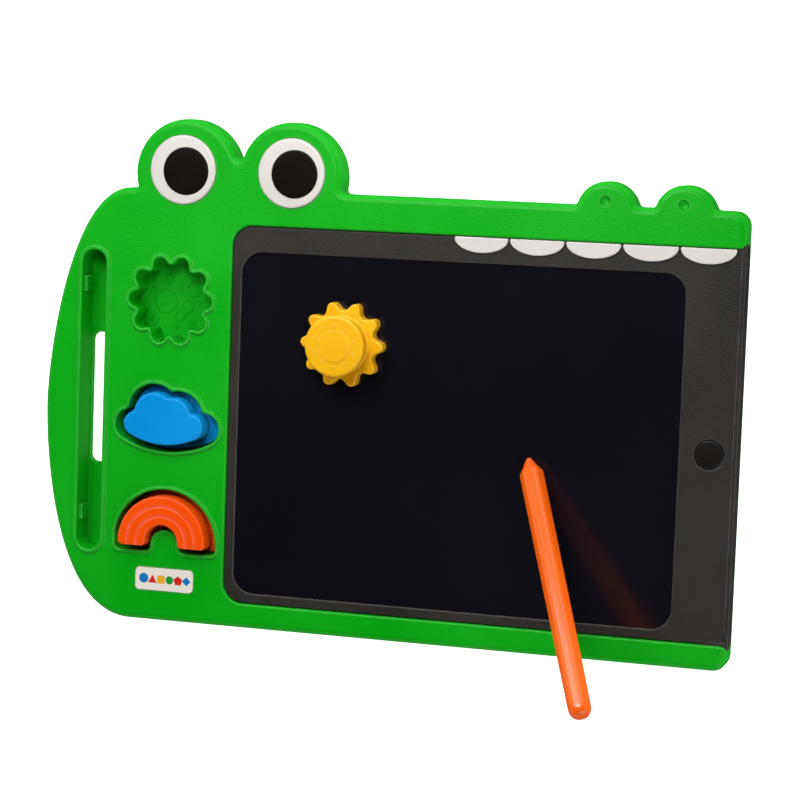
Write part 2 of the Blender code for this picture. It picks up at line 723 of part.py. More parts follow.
def erase_button():
    """A domed cap kept in by its flange, over a silicone dome that springs it back."""
    flange_top = BUTTON_LOW + BUTTON_FLANGE_H
    flange_r = BUTTON_R + BUTTON_FLANGE
    cap = [(0.0, BEZEL_Z + 0.35), (3.2, BEZEL_Z + 0.28), (5.4, BEZEL_Z + 0.12),
           (BUTTON_R, BEZEL_Z - 0.3), (BUTTON_R, flange_top), (flange_r, flange_top),
           (flange_r, BUTTON_LOW), (0.0, BUTTON_LOW)]
    turned("erase_button", cap, BUTTON, GLOSS_BLACK)
    dome_top = BUTTON_LOW - BUTTON_TRAVEL - 0.1
    dome = [(0.0, dome_top), (2.2, dome_top), (3.6, DOME_LOW), (0.0, DOME_LOW)]
    turned("button_dome", dome, BUTTON, SILICONE, steps=20)


def battery_door():
    """A plate with a collar that holds the cell, kept on by one screw."""
    door_top = DOOR_H + GAP
    door = extrusion("battery_door", door_outline(), GAP, door_top, GREEN, origin=(*CELL, 0.0))
    join(door, rod("door_collar", CELL, CELL_R + 1.0, door_top - SINK, COLLAR_H))
    cut(door, rod("door_collar_inside", CELL, CELL_R - 1.0, door_top, COLLAR_H + OVERRUN),
        screw_hole("door_hole", door_screw()))
    screw("battery_door_screw", door_screw(), GAP, DOOR_SCREW_TIP)


# ---------------------------------------------------------------- face details

def eyes():
    for side, (x, y, dx, dy) in EYES.items():
        seat = FACE_Z - EYE_SEAT
        dome = [(0.0, seat + 2.1), (6.0, seat + 2.02), (11.0, seat + 1.8), (14.0, seat + 1.5),
                (EYE_R - 0.4, seat + 1.1), (EYE_R, seat + 0.7), (EYE_R, seat), (0.0, seat)]
        white = turned(f"eye_white_{side}", dome, (x, y), WHITE, steps=32)
        pupil_at = (x + dx, y + dy)
        pupil_low = seat + PUPIL_SEAT
        cut(white, rod(f"pupil_seat_{side}", pupil_at, PUPIL_R + GAP, pupil_low,
                       FACE_Z + 2 * OVERRUN))
        disc = [(0.0, pupil_low + 0.95), (PUPIL_R - 0.3, pupil_low + 0.9),
                (PUPIL_R, pupil_low + 0.7), (PUPIL_R, pupil_low + GAP), (0.0, pupil_low + GAP)]
        turned(f"eye_pupil_{side}", disc, pupil_at, GLOSS_BLACK, steps=28)


def teeth():
    low = BEZEL_Z + GAP
    for index, x in enumerate(TOOTH_CENTRES, 1):
        extrusion(f"tooth_{index}", tooth_outline(x), low, low + TOOTH_H, WHITE, round_top=0.35,
                  segments=1)


def badge_outline(grow=0.0):
    x, y, width, height = BADGE
    return rounded_box(x - width / 2 - grow, x + width / 2 + grow,
                       y - height / 2 - grow, y + height / 2 + grow, BADGE_R + grow)


def badge():
    extrusion("badge_label", badge_outline(), FACE_Z, FACE_Z + BADGE_H, PAPER)


# ---------------------------------------------------------------- stamps and stylus

def stamp(name, look, low, base, hollow, plate, plate_seat, grip, grip_hollow, origin):
    """A hollow base with a finger grip, closed from below by its printing plate."""
    body = extrusion(name + "_stamp_body", base, low, low + STAMP_BASE_H, look,
                     round_top=STAMP_EDGE_R, origin=(*origin, low))
    join(body, grip)
    inside = low + PLATE_H - SINK
    cut(body, extrusion(name + "_plate_seat", plate_seat, low - OVERRUN, low + PLATE_H + GAP),
        extrusion(name + "_hollow", hollow, inside, low + STAMP_BASE_H - STAMP_WALL),
        extrusion(name + "_grip_hollow", grip_hollow, inside, low + STAMP_H - STAMP_WALL))
    extrusion(name + "_stamp_plate", plate, low, low + PLATE_H, look, origin=(*origin, low))


def sun_stamp():
    low = SCREEN_Z + GAP
    top = low + STAMP_H
    knob = [(0.0, top), (KNOB_R - 1.6, top), (KNOB_R - 0.5, top - 0.5), (KNOB_R, top - 1.6),
            (KNOB_R, top - 3.0), (KNOB_FOOT_R, low + STAMP_BASE_H + 0.8),
            (KNOB_FOOT_R + 0.6, low + STAMP_BASE_H), (KNOB_FOOT_R + 0.6, low + GRIP_LOW),
            (0.0, low + GRIP_LOW)]
    stamp("sun", YELLOW, low,
          base=sun_outline(SUN_REST, -STAMP_INSET, SUN_TURN),
          hollow=circle(*SUN_REST, SUN_HOLLOW_R),
          plate=sun_outline(SUN_REST, -PLATE_INSET - GAP, SUN_TURN),
          plate_seat=sun_outline(SUN_REST, -PLATE_INSET, SUN_TURN),
          grip=turned("sun_grip", knob, SUN_REST, steps=28),
          grip_hollow=circle(*SUN_REST, KNOB_FOOT_R - STAMP_WALL), origin=SUN_REST)


def cloud_stamp():
    low = FLOOR_Z + GAP
    grip_at = dict(scale=CLOUD_GRIP_SCALE, centre=CLOUD_GRIP_CENTRE)
    grip = extrusion("cloud_grip", cloud_outline(**grip_at), low + GRIP_LOW, low + STAMP_H,
                     round_top=STAMP_EDGE_R)
    stamp("cloud", BLUE, low,
          base=cloud_outline(-POCKET_STAMP_INSET),
          hollow=cloud_outline(-CLOUD_HOLLOW_INSET),
          plate=cloud_outline(-PLATE_INSET - GAP),
          plate_seat=cloud_outline(-PLATE_INSET),
          grip=grip, grip_hollow=cloud_outline(-STAMP_WALL, **grip_at), origin=CLOUD_GRIP_CENTRE)


def rainbow_stamp():
    low = FLOOR_Z + GAP
    at = (RAINBOW[0], RAINBOW_GRIP_Y)
    grip = rainbow_outline(at, RAINBOW_GRIP_R, RAINBOW_GRIP_ARCH_R, RAINBOW_GRIP_FOOT,
                           RAINBOW_GRIP_CORNER_R)
    grip_inside = rainbow_outline(at, RAINBOW_GRIP_R - STAMP_WALL, RAINBOW_GRIP_ARCH_R + STAMP_WALL,
                                  RAINBOW_GRIP_FOOT - STAMP_WALL, 0.4)
    stamp("rainbow", ORANGE, low,
          base=rainbow_rim(-POCKET_STAMP_INSET),
          hollow=rainbow_outline(RAINBOW, *RAINBOW_HOLLOW),
          plate=rainbow_rim(-RAINBOW_PLATE_INSET - GAP),
          plate_seat=rainbow_rim(-RAINBOW_PLATE_INSET),
          grip=extrusion("rainbow_grip", grip, low + GRIP_LOW, low + STAMP_H,
                         round_top=STAMP_EDGE_R),
          grip_hollow=grip_inside, origin=RAINBOW)


def stylus():
    """A tapering six-sided pen with rounded edges, a conical tip and a round tail."""
    cone_r = STYLUS_TIP_R * 0.86
    stations = [(-STYLUS_TIP_R * 0.98, 0.25), (-STYLUS_TIP_R * 0.7, 1.1), (-0.4, 1.5),
                (0.8, cone_r + 0.45), (STYLUS_CONE, STYLUS_FRONT_R - 0.15),
                (STYLUS_CONE + 0.8, STYLUS_FRONT_R),
                (STYLUS_LENGTH - 5.0, STYLUS_BACK_R), (STYLUS_LENGTH - 2.4, 4.6),
                (STYLUS_LENGTH - 0.9, 3.5), (STYLUS_LENGTH - 0.2, 2.0)]
    shape = bmesh.new()
    rings = [[shape.verts.new(Vector((x, y, along)) * MM) for x, y in hexagon(radius)]
             for along, radius in stations]
    for lower, upper in zip(rings, rings[1:]):
        for index in range(len(lower)):
            after = (index + 1) % len(lower)
            shape.faces.new((lower[index], lower[after], upper[after], upper[index]))
    shape.faces.new(reversed(rings[0]))
    shape.faces.new(rings[-1])
    pen = finish(shape, "stylus", PEN)
    pen.rotation_mode = "QUATERNION"
    level = math.cos(STYLUS_ELEVATION)
    direction = Vector((level * math.cos(STYLUS_AZIMUTH), level * math.sin(STYLUS_AZIMUTH),
                        math.sin(STYLUS_ELEVATION)))
    pen.rotation_quaternion = direction.to_track_quat("Z", "Y")
    pen.location = Vector(STYLUS_TIP) * MM


def hexagon(radius):
    """A six-sided ring whose half width is radius, its corners rounded in proportion."""
    corner_r = STYLUS_EDGE_R * radius / STYLUS_FRONT_R
    reach = radius - corner_r
    points = []
    for side in range(6):
        turn = 60 * side + STYLUS_ROLL
        x = reach * math.cos(math.radians(turn))
        y = reach * math.sin(math.radians(turn))
        points += [(x + corner_r * math.cos(math.radians(turn + lean)),
                    y + corner_r * math.sin(math.radians(turn + lean))) for lean in (-30, 0, 30)]
    return points


def fasteners():
    for index, centre in enumerate(FRAME_SCREWS, 1):
        screw(f"frame_screw_{index}", centre, GAP, FRAME_SCREW_TIP)
    for index, centre in enumerate(TABLET_SCREWS, 1):
        screw(f"tablet_screw_{index}", centre, GAP, TABLET_SCREW_TIP)


clear_scene()
PARTS = new_collection("kids_toy_tablet")
CUTTERS = new_collection("cutters")
BOOLEANS = []
front_shell()
back_shell()
tablet_bezel()
tablet_rear_case()
electronics()
erase_button()
battery_door()
eyes()
teeth()
badge()
sun_stamp()
cloud_stamp()
rainbow_stamp()
stylus()
fasteners()
add_booleans()
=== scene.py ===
"""Looks of the kids drawing tablet: fine surfaces, moulded plastic materials, studio light and camera.

Sizes are in millimetres in the CAD's frame (X to the snout, Y up the face, Z out of the face),
and MM turns them into metres.
"""

import math

import bmesh
import bpy
from mathutils import Matrix, Vector


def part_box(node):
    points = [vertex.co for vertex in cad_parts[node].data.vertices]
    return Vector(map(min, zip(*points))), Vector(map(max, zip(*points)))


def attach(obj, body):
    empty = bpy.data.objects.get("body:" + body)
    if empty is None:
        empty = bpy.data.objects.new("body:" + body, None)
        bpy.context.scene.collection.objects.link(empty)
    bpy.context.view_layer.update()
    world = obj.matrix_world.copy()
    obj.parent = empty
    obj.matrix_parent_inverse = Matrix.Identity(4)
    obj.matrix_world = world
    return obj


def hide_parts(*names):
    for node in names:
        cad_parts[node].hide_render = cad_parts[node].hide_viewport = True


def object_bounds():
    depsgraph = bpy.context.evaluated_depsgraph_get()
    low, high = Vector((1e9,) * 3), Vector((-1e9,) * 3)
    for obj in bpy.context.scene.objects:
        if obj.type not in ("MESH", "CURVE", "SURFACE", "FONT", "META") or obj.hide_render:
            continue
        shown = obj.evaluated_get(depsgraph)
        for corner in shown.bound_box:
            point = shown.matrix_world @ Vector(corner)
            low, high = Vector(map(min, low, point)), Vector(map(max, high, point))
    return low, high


MM = 0.001
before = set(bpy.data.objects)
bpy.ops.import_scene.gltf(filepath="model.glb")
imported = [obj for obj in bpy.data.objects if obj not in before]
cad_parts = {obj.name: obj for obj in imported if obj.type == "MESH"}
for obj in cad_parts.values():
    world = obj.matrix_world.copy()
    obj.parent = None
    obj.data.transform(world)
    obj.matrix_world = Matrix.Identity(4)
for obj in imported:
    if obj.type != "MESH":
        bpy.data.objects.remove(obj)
cad_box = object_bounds()


def low_of(node):
    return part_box(node)[0] / MM


def high_of(node):
    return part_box(node)[1] / MM


# Levels and places, read from the CAD
GAP = 0.3  # between pieces that touch
SHELL_LOW = low_of("front_shell").z
BEZEL_Z = high_of("tablet_bezel").z
BEZEL_LOW = low_of("tablet_bezel").z
SCREEN_Z = high_of("lcd_writing_panel").z
RIM_H = 0.9  # of the CAD's pocket rims
BEAD_H = 1.15  # of the rounder beads that stand for them here
FACE_Z = high_of("front_shell").z - RIM_H
FOOT_Z = low_of("cloud_stamp_body").z
FLOOR_Z = FOOT_Z - GAP
SPLIT_Z = high_of("back_shell").z
RIGHT_X = high_of("front_shell").x
LEFT_X = low_of("front_shell").x
BOTTOM_Y = low_of("front_shell").y

# Outline of the head
TOP_Y = 106.3
SHOULDER_Y = 105.3
CHEEK_Y = 3.4
CORNER_R = 6.5
# Bumps are centre and radius
EYE_BUMPS = ((-130.2, 112.6, 24.8), (-80.2, 113.0, 24.5))
EYE_NOTCH_R = 2.0
NOSE_BUMPS = ((65.1, 103.3, 13.7), (99.8, 103.0, 13.7))
BUMP_FILLET = 2.0
NOSTRIL_SHIFT = (-0.2, 5.0)
FACE_ROUND = 3.4
BACK_ROUND = 4.0
WALL = 2.4
INSIDE_Z = FACE_Z - 2.2

# Screen and jaw
WINDOW = (102.0, 78.4, 9.5)  # half width, half height and corner radius
JAW_LEFT, JAW_BOTTOM, JAW_TOP = -106.7, -83.3, 90.3
JAW_R = 9.5
LIP_R = 3.6

# Pockets
HOLE_INSET = 0.8
SUN_POCKET = (-135.9, 54.4)
SUN_LOBES = 10
SUN_LOBE_CENTRE, SUN_LOBE_R = 16.9, 4.2
SUN_VALLEY_CENTRE, SUN_VALLEY_R = 18.3, 1.15
# Lobes are centre and radius, from the right
CLOUD_LOBES = ((-118.0, -4.0, 8.2), (-130.3, 1.2, 12.4), (-142.3, 3.2, 13.1), (-154.2, -3.8, 7.8))
CLOUD_BASE_R, CLOUD_NOTCH_R = 48.2, 1.3
RAINBOW = (-135.4, -58.0)
RAINBOW_R, RAINBOW_ARCH_R, RAINBOW_ARCH_DROP = 25.6, 6.3, 0.8
RAINBOW_FOOT, RAINBOW_CORNER_R = 4.8, 3.0
CHANNEL_X, CHANNEL_HALF = -173.6, 5.9
CHANNEL_LOW, CHANNEL_HIGH = -63.7, 76.0
SLOT_HALF, SLOT_LOW, SLOT_HIGH, SLOT_R = 5.05, -24.0, 37.0, 3.5
NUB_SPANS = ((56.3, 63.6), (-50.6, -43.4))

# Stamps
BASE_H, STAMP_H = 6.4, 18.0
PLATE_TOP = 1.7
SUN_REST = (-51.9, 39.2)
SUN_TURN = math.radians(-1.4)
KNOB_FOOT_R, KNOB_R = 12.3, 13.8
CLOUD_GRIP = dict(scale=0.735, centre=(-135.8, 0.2))
# Centre, outer radius, arch radius, foot length and corner radius
RAINBOW_GRIP = ((-135.4, -57.0), 21.3, 7.9, 2.3, 2.2)
RAINBOW_GROOVES = (16.7, 12.2)

# Stylus
TIP = Vector((35.7, -7.9, 15.5))
AZIMUTH, ELEVATION = math.radians(-64.6), math.radians(36.5)
STYLUS_LENGTH = 131.2
STYLUS_ROLL = 47  # turns one flat of the six-sided shaft to the front

# Face details
# Centre of the white and the pupil's shift from it
EYES = {"left": (-131.3, 114.3, 1.65, -0.6), "right": (-79.3, 114.7, 1.7, -0.4)}
EYE_R, PUPIL_R = 15.7, 10.85
TOOTH_CENTRES = (9.9, 35.2, 60.5, 85.9, 111.3)
# Centre, width and height
BADGE = (-135.2, -75.2, 28.4, 10.6)
BUTTON = (115.5, 0.3)
FRAME_SCREWS = ((-187.3, 32), (-187.3, -32), (-105, 101), (20, 98.3), (110, 98.3), (-145, -86),
                (0, -88.5), (112, -88.5))
TABLET_SCREWS = ((-95, 84.6), (10, 84.6), (115, 82), (115, -72))
# Centre and half sizes
DOOR = (102.0, -40.0, 22.0, 15.0)
DOOR_SCREW = (115.0, -40.0)
CELL = (98.0, -40.0)

FINE = 0.025  # furthest that a straight piece of an arc strays from it


# ---------------- outlines, anticlockwise

def arc(x, y, radius, start, end):
    """Points of an arc about x, y between two angles in degrees."""
    bend = 2 * math.acos(1 - min(0.5, FINE / radius))
    count = max(3, math.ceil(abs(math.radians(end - start)) / bend))
    turns = [math.radians(start + (end - start) * step / count) for step in range(count + 1)]
    return [(x + radius * math.cos(t), y + radius * math.sin(t)) for t in turns]


def bezier(points, count=40):
    curve = []
    for step in range(count + 1):
        t = step / count
        weights = ((1 - t) ** 3, 3 * (1 - t) ** 2 * t, 3 * (1 - t) * t ** 2, t ** 3)
        curve.append(tuple(sum(w * p[axis] for w, p in zip(weights, points)) for axis in (0, 1)))
    return curve


def tidy(points):
    """The outline without doubled points."""
    kept = []
    for point in points:
        if not kept or math.dist(point, kept[-1]) > 0.01:
            kept.append(point)
    if math.dist(kept[0], kept[-1]) <= 0.01:
        kept.pop()
    return kept


def grown(points, distance):
    """The outline moved outwards by distance, point by point."""
    if not distance:
        return points
    moved = []
    for index, point in enumerate(points):
        here = Vector(point)
        first = (here - Vector(points[index - 1])).normalized()
        second = (Vector(points[(index + 1) % len(points)]) - here).normalized()
        outward = Vector((first.y + second.y, -first.x - second.x)).normalized()
        slope = max(0.5, outward.dot(Vector((first.y, -first.x))))
        moved.append(tuple(here + outward * distance / slope))
    return moved


def circle(x, y, radius):
    return tidy(arc(x, y, radius, 0, 360))


def rounded_box(left, right, low, high, radius):
    return tidy(arc(right - radius, low + radius, radius, -90, 0)
                + arc(right - radius, high - radius, radius, 0, 90)
                + arc(left + radius, high - radius, radius, 90, 180)
                + arc(left + radius, low + radius, radius, 180, 270))


def angle_from(centre, target):
    return math.degrees(math.atan2(target[1] - centre[1], target[0] - centre[0]))


def bump_side(x, y, radius, base_y, fillet):
    """Right side of a round bump, from the fillet at its foot to its top."""
    rise = base_y + fillet
    reach = math.sqrt((radius + fillet) ** 2 - (rise - y) ** 2)
    foot = (x + reach, rise)
    turn = angle_from(foot, (x, y))
    if turn > -90:
        turn -= 360
    return arc(*foot, fillet, -90, turn)[:-1] + arc(x, y, radius, angle_from((x, y), foot), 90)


def mirrored(points, x):
    return [(2 * x - px, py) for px, py in reversed(points)]


def joining_centre(first, second, fillet, side=1):
    """Centre of the circle of radius fillet that touches both circles from outside."""
    (ax, ay, ar), (bx, by, br) = first, second
    across = Vector((bx - ax, by - ay))
    length = across.length
    along = ((ar + fillet) ** 2 - (br + fillet) ** 2 + length ** 2) / (2 * length)
    out = math.sqrt(max(0.0, (ar + fillet) ** 2 - along ** 2))
    unit = across / length
    return (ax + unit.x * along + side * unit.y * out, ay + unit.y * along - side * unit.x * out)


def notch_arc(centre, radius, first, second):
    """The inward arc that joins two neighbouring circles."""
    start = angle_from(centre, first)
    end = angle_from(centre, second)
    while end > start:
        end -= 360
    return arc(*centre, radius, start, end)


def head_outline():
    right_eye, left_eye = EYE_BUMPS[1], EYE_BUMPS[0]
    notch = joining_centre(right_eye, left_eye, EYE_NOTCH_R)
    cheek = (LEFT_X, CHEEK_Y)
    points = bezier((cheek, (LEFT_X, CHEEK_Y - 26), (-190.5, BOTTOM_Y), (-152.9, BOTTOM_Y)))
    points += arc(RIGHT_X - CORNER_R, BOTTOM_Y + CORNER_R, CORNER_R, -90, 0)
    points += arc(RIGHT_X - CORNER_R, TOP_Y - CORNER_R, CORNER_R, 0, 90)
    for x, y, radius in reversed(NOSE_BUMPS):
        side = bump_side(x, y, radius, TOP_Y, BUMP_FILLET)
        points += side + mirrored(side, x)
    points += bump_side(*right_eye, TOP_Y, BUMP_FILLET)
    points += arc(*right_eye, 90, angle_from(right_eye, notch))
    points += notch_arc(notch, EYE_NOTCH_R, right_eye, left_eye)
    points += arc(*left_eye, angle_from(left_eye, notch), 90)
    points += mirrored(bump_side(*left_eye, SHOULDER_Y, BUMP_FILLET / 2), left_eye[0])
    points += bezier(((-157.0, SHOULDER_Y), (-187.0, SHOULDER_Y), (LEFT_X, CHEEK_Y + 24), cheek))
    return tidy(points)


def jaw_outline(grow=0.0, lips=True, right=RIGHT_X + 8, corner=0.0):
    """The opening for the tablet, which runs out of the right end between two round lips."""
    left, low, high = JAW_LEFT - grow, JAW_BOTTOM - grow, JAW_TOP + grow
    radius = JAW_R + grow
    if lips:
        points = arc(RIGHT_X - LIP_R, low - LIP_R, LIP_R, 90, 0)
        points += [(right, low - LIP_R), (right, high + LIP_R)]
        points += arc(RIGHT_X - LIP_R, high + LIP_R, LIP_R, 0, -90)
    elif corner:
        points = arc(right - corner, low + corner, corner, -90, 0)
        points += arc(right - corner, high - corner, corner, 0, 90)
    else:
        points = [(right, low), (right, high)]
    points += arc(left + radius, high - radius, radius, 90, 180)
    points += arc(left + radius, low + radius, radius, 180, 270)
    return tidy(points)


def sun_outline(centre, grow=0.0, turn=0.0):
    lobe_r, valley_r = SUN_LOBE_R + grow, max(0.05, SUN_VALLEY_R - grow)
    half = math.pi / SUN_LOBES
    apart = Vector((SUN_VALLEY_CENTRE * math.cos(half) - SUN_LOBE_CENTRE,
                    SUN_VALLEY_CENTRE * math.sin(half)))
    lean = math.degrees(math.atan2(apart.y, apart.x)
                        - math.acos((lobe_r + valley_r) / apart.length))
    points = []
    for index in range(SUN_LOBES):
        lobe = 2 * half * index + turn
        valley = lobe + half
        lobe_at = (centre[0] + SUN_LOBE_CENTRE * math.cos(lobe),
                   centre[1] + SUN_LOBE_CENTRE * math.sin(lobe))
        valley_at = (centre[0] + SUN_VALLEY_CENTRE * math.cos(valley),
                     centre[1] + SUN_VALLEY_CENTRE * math.sin(valley))
        points += arc(*lobe_at, lobe_r, math.degrees(lobe) - lean, math.degrees(lobe) + lean)
        swing = math.degrees(lobe) + lean + 180
        points += arc(*valley_at, valley_r, swing, 2 * (math.degrees(valley) + 180) - swing)
    return tidy(points)


def cloud_outline(grow=0.0, scale=1.0, centre=(0.0, 0.0)):
    lobes = [(centre[0] + (x - centre[0]) * scale, centre[1] + (y - centre[1]) * scale,
              r * scale + grow) for x, y, r in CLOUD_LOBES]
    base_r = CLOUD_BASE_R * scale + grow
    notch_r = max(0.05, CLOUD_NOTCH_R * scale - grow)
    right, left = lobes[0], lobes[-1]
    base = joining_centre(left, right, -base_r, side=-1)
    notches = [joining_centre(a, b, notch_r) for a, b in zip(lobes, lobes[1:])]
    points = arc(*base, base_r, angle_from(base, left), angle_from(base, right))
    start = angle_from(base, right)
    for lobe, notch, following in zip(lobes, notches, lobes[1:]):
        end = angle_from(lobe, notch)
        while end < start:
            end += 360
        points += arc(*lobe, start, end)
        points += notch_arc(notch, notch_r, lobe, following)
        start = angle_from(following, notch)
    end = angle_from(base, left)
    while end < start:
        end += 360
    points += arc(*left, start, end)
    return tidy(points)


def rainbow_outline(centre, outer, arch, foot, corner, arch_drop=0.0):
    x, y = centre
    low = y - foot
    arch_y = y - arch_drop
    points = arc(x + outer - corner, low + corner, corner, -90, 0)
    points += arc(x, y, outer, 0, 180)
    points += arc(x - outer + corner, low + corner, corner, 180, 270)
    inner = min(corner, arch_y - low)
    points += arc(x - arch - inner, low + inner, inner, 270, 360)
    points += arc(x, arch_y, arch, 180, 0)
    points += arc(x + arch + inner, low + inner, inner, 180, 270)
    return tidy(points)


def rainbow_rim(grow=0.0):
    return rainbow_outline(RAINBOW, RAINBOW_R + grow, RAINBOW_ARCH_R - grow, RAINBOW_FOOT + grow,
                           max(0.4, RAINBOW_CORNER_R + grow), RAINBOW_ARCH_DROP)


def channel_outline(grow=0.0):
    return rounded_box(CHANNEL_X - CHANNEL_HALF - grow, CHANNEL_X + CHANNEL_HALF + grow,
                       CHANNEL_LOW - grow, CHANNEL_HIGH + grow, CHANNEL_HALF + grow)


def tooth_outline(x, half=12.25, depth=6.9):
    top = JAW_TOP - GAP
    corner = 0.5
    sweep = [math.radians(180 + 180 * step / 48) for step in range(49)]
    points = [(x + half * math.cos(a), top - corner + (depth - corner) * math.sin(a)) for a in sweep]
    points += arc(x + half - corner, top - corner, corner, 0, 90)
    points += arc(x - half + corner, top - corner, corner, 90, 180)
    return tidy(points)


# ---------------- solids

def round_over(z, radius, grow=0.0, steps=5):
    """Profile of an edge rounded inwards up to level z: pairs of growth and height."""
    turns = [math.pi / 2 * step / steps for step in range(steps + 1)]
    return [(grow - radius + radius * math.cos(t), z - radius + radius * math.sin(t)) for t in turns]


def round_under(z, radius, grow=0.0, steps=5):
    return [(g, 2 * z - h) for g, h in reversed(round_over(z, radius, grow, steps))]


def flare(z, radius, grow=0.0, steps=5):
    """Profile of a cutter that leaves a round-over on the edge of its hole at level z."""
    turns = [math.pi / 2 * step / steps for step in range(steps + 1)]
    return [(grow + radius - radius * math.cos(t), z - radius + radius * math.sin(t)) for t in turns]


def as_object(shape, name):
    bmesh.ops.recalc_face_normals(shape, faces=shape.faces)
    mesh = bpy.data.meshes.new(name)
    shape.to_mesh(mesh)
    shape.free()
    thing = bpy.data.objects.new(name, mesh)
    bpy.context.scene.collection.objects.link(thing)
    return thing


def stack(name, outline, profile):
    """A closed solid through rings of the outline, each grown and at its own height."""
    shape = bmesh.new()
    rings = [[shape.verts.new((x * MM, y * MM, z * MM)) for x, y in grown(outline, grow)]
             for grow, z in profile]
    for lower, upper in zip(rings, rings[1:]):
        for index in range(len(lower)):
            after = (index + 1) % len(lower)
            shape.faces.new((lower[index], lower[after], upper[after], upper[index]))
    shape.faces.new(reversed(rings[0]))
    shape.faces.new(rings[-1])
    return as_object(shape, name)


def prism(name, outline, low, high):
    return stack(name, outline, [(0.0, low), (0.0, high)])


def lathe(name, profile, centre, steps=96):
    """A solid turned about Z from pairs of radius and height, listed from the bottom up."""
    shape = bmesh.new()
    rings = []
    for radius, z in profile:
        if radius < 1e-6:
            rings.append([shape.verts.new((centre[0] * MM, centre[1] * MM, z * MM))])
            continue
        turns = [2 * math.pi * step / steps for step in range(steps)]
        rings.append([shape.verts.new(((centre[0] + radius * math.cos(t)) * MM,
                                       (centre[1] + radius * math.sin(t)) * MM, z * MM))
                      for t in turns])
    for lower, upper in zip(rings, rings[1:]):
        for index in range(steps):
            after = (index + 1) % steps
            if len(lower) == 1:
                shape.faces.new((lower[0], upper[after], upper[index]))
            elif len(upper) == 1:
                shape.faces.new((lower[index], lower[after], upper[0]))
            else:
                shape.faces.new((lower[index], lower[after], upper[after], upper[index]))
    return as_object(shape, name)


def tube(name, points, radius):
    """A round bar along points, with closed ends."""
    curve = bpy.data.curves.new(name, "CURVE")
    curve.dimensions = "3D"
    curve.bevel_depth = radius * MM
    curve.bevel_resolution = 4
    curve.use_fill_caps = True
    spline = curve.splines.new("POLY")
    spline.points.add(len(points) - 1)
    for point, (x, y, z) in zip(spline.points, points):
        point.co = (x * MM, y * MM, z * MM, 1.0)
    guide = bpy.data.objects.new(name + "_guide", curve)
    bpy.context.scene.collection.objects.link(guide)
    return as_object(mesh_of(guide), name)


def mesh_of(thing):
    """The object's mesh with its modifiers applied, welded. The object is removed."""
    bpy.context.view_layer.update()
    shown = thing.evaluated_get(bpy.context.evaluated_depsgraph_get())
    mesh = bpy.data.meshes.new_from_object(shown)
    bpy.data.objects.remove(thing, do_unlink=True)
    shape = bmesh.new()
    shape.from_mesh(mesh)
    bpy.data.meshes.remove(mesh)
    bmesh.ops.remove_doubles(shape, verts=shape.verts, dist=2e-6)
    bmesh.ops.dissolve_degenerate(shape, edges=shape.edges, dist=1e-6)
    return shape


def combine(target, others, operation="DIFFERENCE"):
    """Cuts the others from the target, or joins them to it, in one exact Boolean."""
    name = target.name
    group = bpy.data.collections.new(name + "_tools")
    for other in others:
        group.objects.link(other)
    step = target.modifiers.new(operation.lower(), "BOOLEAN")
    step.operand_type = "COLLECTION"
    step.collection = group
    step.operation = operation
    step.solver = "EXACT"
    shape = mesh_of(target)
    for other in others:
        bpy.data.objects.remove(other, do_unlink=True)
    bpy.data.collections.remove(group)
    return as_object(shape, name)


def piece(thing, body, material, slot, *nodes, sharp=36.0):
    """Shades a finished piece, gives it its material, ties it to its body and hides the CAD nodes it stands
    for.
    """
    thing.data.shade_smooth()
    thing.data.set_sharp_from_angle(angle=math.radians(sharp))
    even = thing.modifiers.new("even_normals", "WEIGHTED_NORMAL")
    even.keep_sharp = True
    thing.data.materials.clear()
    thing.data.materials.append(material)
    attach(thing, body)
    if nodes:
        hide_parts(*nodes)
    return thing


# ---------------- materials

def nodes_of(material):
    tree = material.node_tree
    return tree.nodes, tree.links


def math_node(nodes, links, operation, first, second, clamp=False):
    node = nodes.new("ShaderNodeMath")
    node.operation = operation
    node.use_clamp = clamp
    for socket, value in zip(node.inputs, (first, second)):
        if isinstance(value, (int, float)):
            socket.default_value = value
        else:
            links.new(value, socket)
    return node.outputs[0]


def noise_node(nodes, links, place, scale, detail, roughness=0.5):
    node = nodes.new("ShaderNodeTexNoise")
    node.inputs["Scale"].default_value = scale
    node.inputs["Detail"].default_value = detail
    node.inputs["Roughness"].default_value = roughness
    links.new(place, node.inputs["Vector"])
    return node.outputs["Fac"]


def ramp_between(nodes, links, value, low, high):
    node = nodes.new("ShaderNodeMapRange")
    node.inputs["From Min"].default_value = 0.3
    node.inputs["From Max"].default_value = 0.7
    node.inputs["To Min"].default_value = low
    node.inputs["To Max"].default_value = high
    links.new(value, node.inputs["Value"])
    return node.outputs["Result"]


def mix_colour(nodes, links, factor, first, second):
    node = nodes.new("ShaderNodeMix")
    node.data_type = "RGBA"
    links.new(factor, node.inputs["Factor"])
    for socket, value in ((node.inputs["A"], first), (node.inputs["B"], second)):
        if isinstance(value, tuple):
            socket.default_value = (*value, 1.0)
        else:
            links.new(value, socket)
    return node.outputs["Result"]


def edge_mask(nodes, links, radius):
    """Near 1 on rounded and sharp edges, 0 on flat faces."""
    bevel = nodes.new("ShaderNodeBevel")
    bevel.samples = 4
    bevel.inputs["Radius"].default_value = radius
    geometry = nodes.new("ShaderNodeNewGeometry")
    dot = nodes.new("ShaderNodeVectorMath")
    dot.operation = "DOT_PRODUCT"
    links.new(bevel.outputs["Normal"], dot.inputs[0])
    links.new(geometry.outputs["Normal"], dot.inputs[1])
    mask = nodes.new("ShaderNodeMapRange")
    mask.inputs["From Min"].default_value = 0.999
    mask.inputs["From Max"].default_value = 0.93
    links.new(dot.outputs["Value"], mask.inputs["Value"])
    return mask.outputs["Result"]


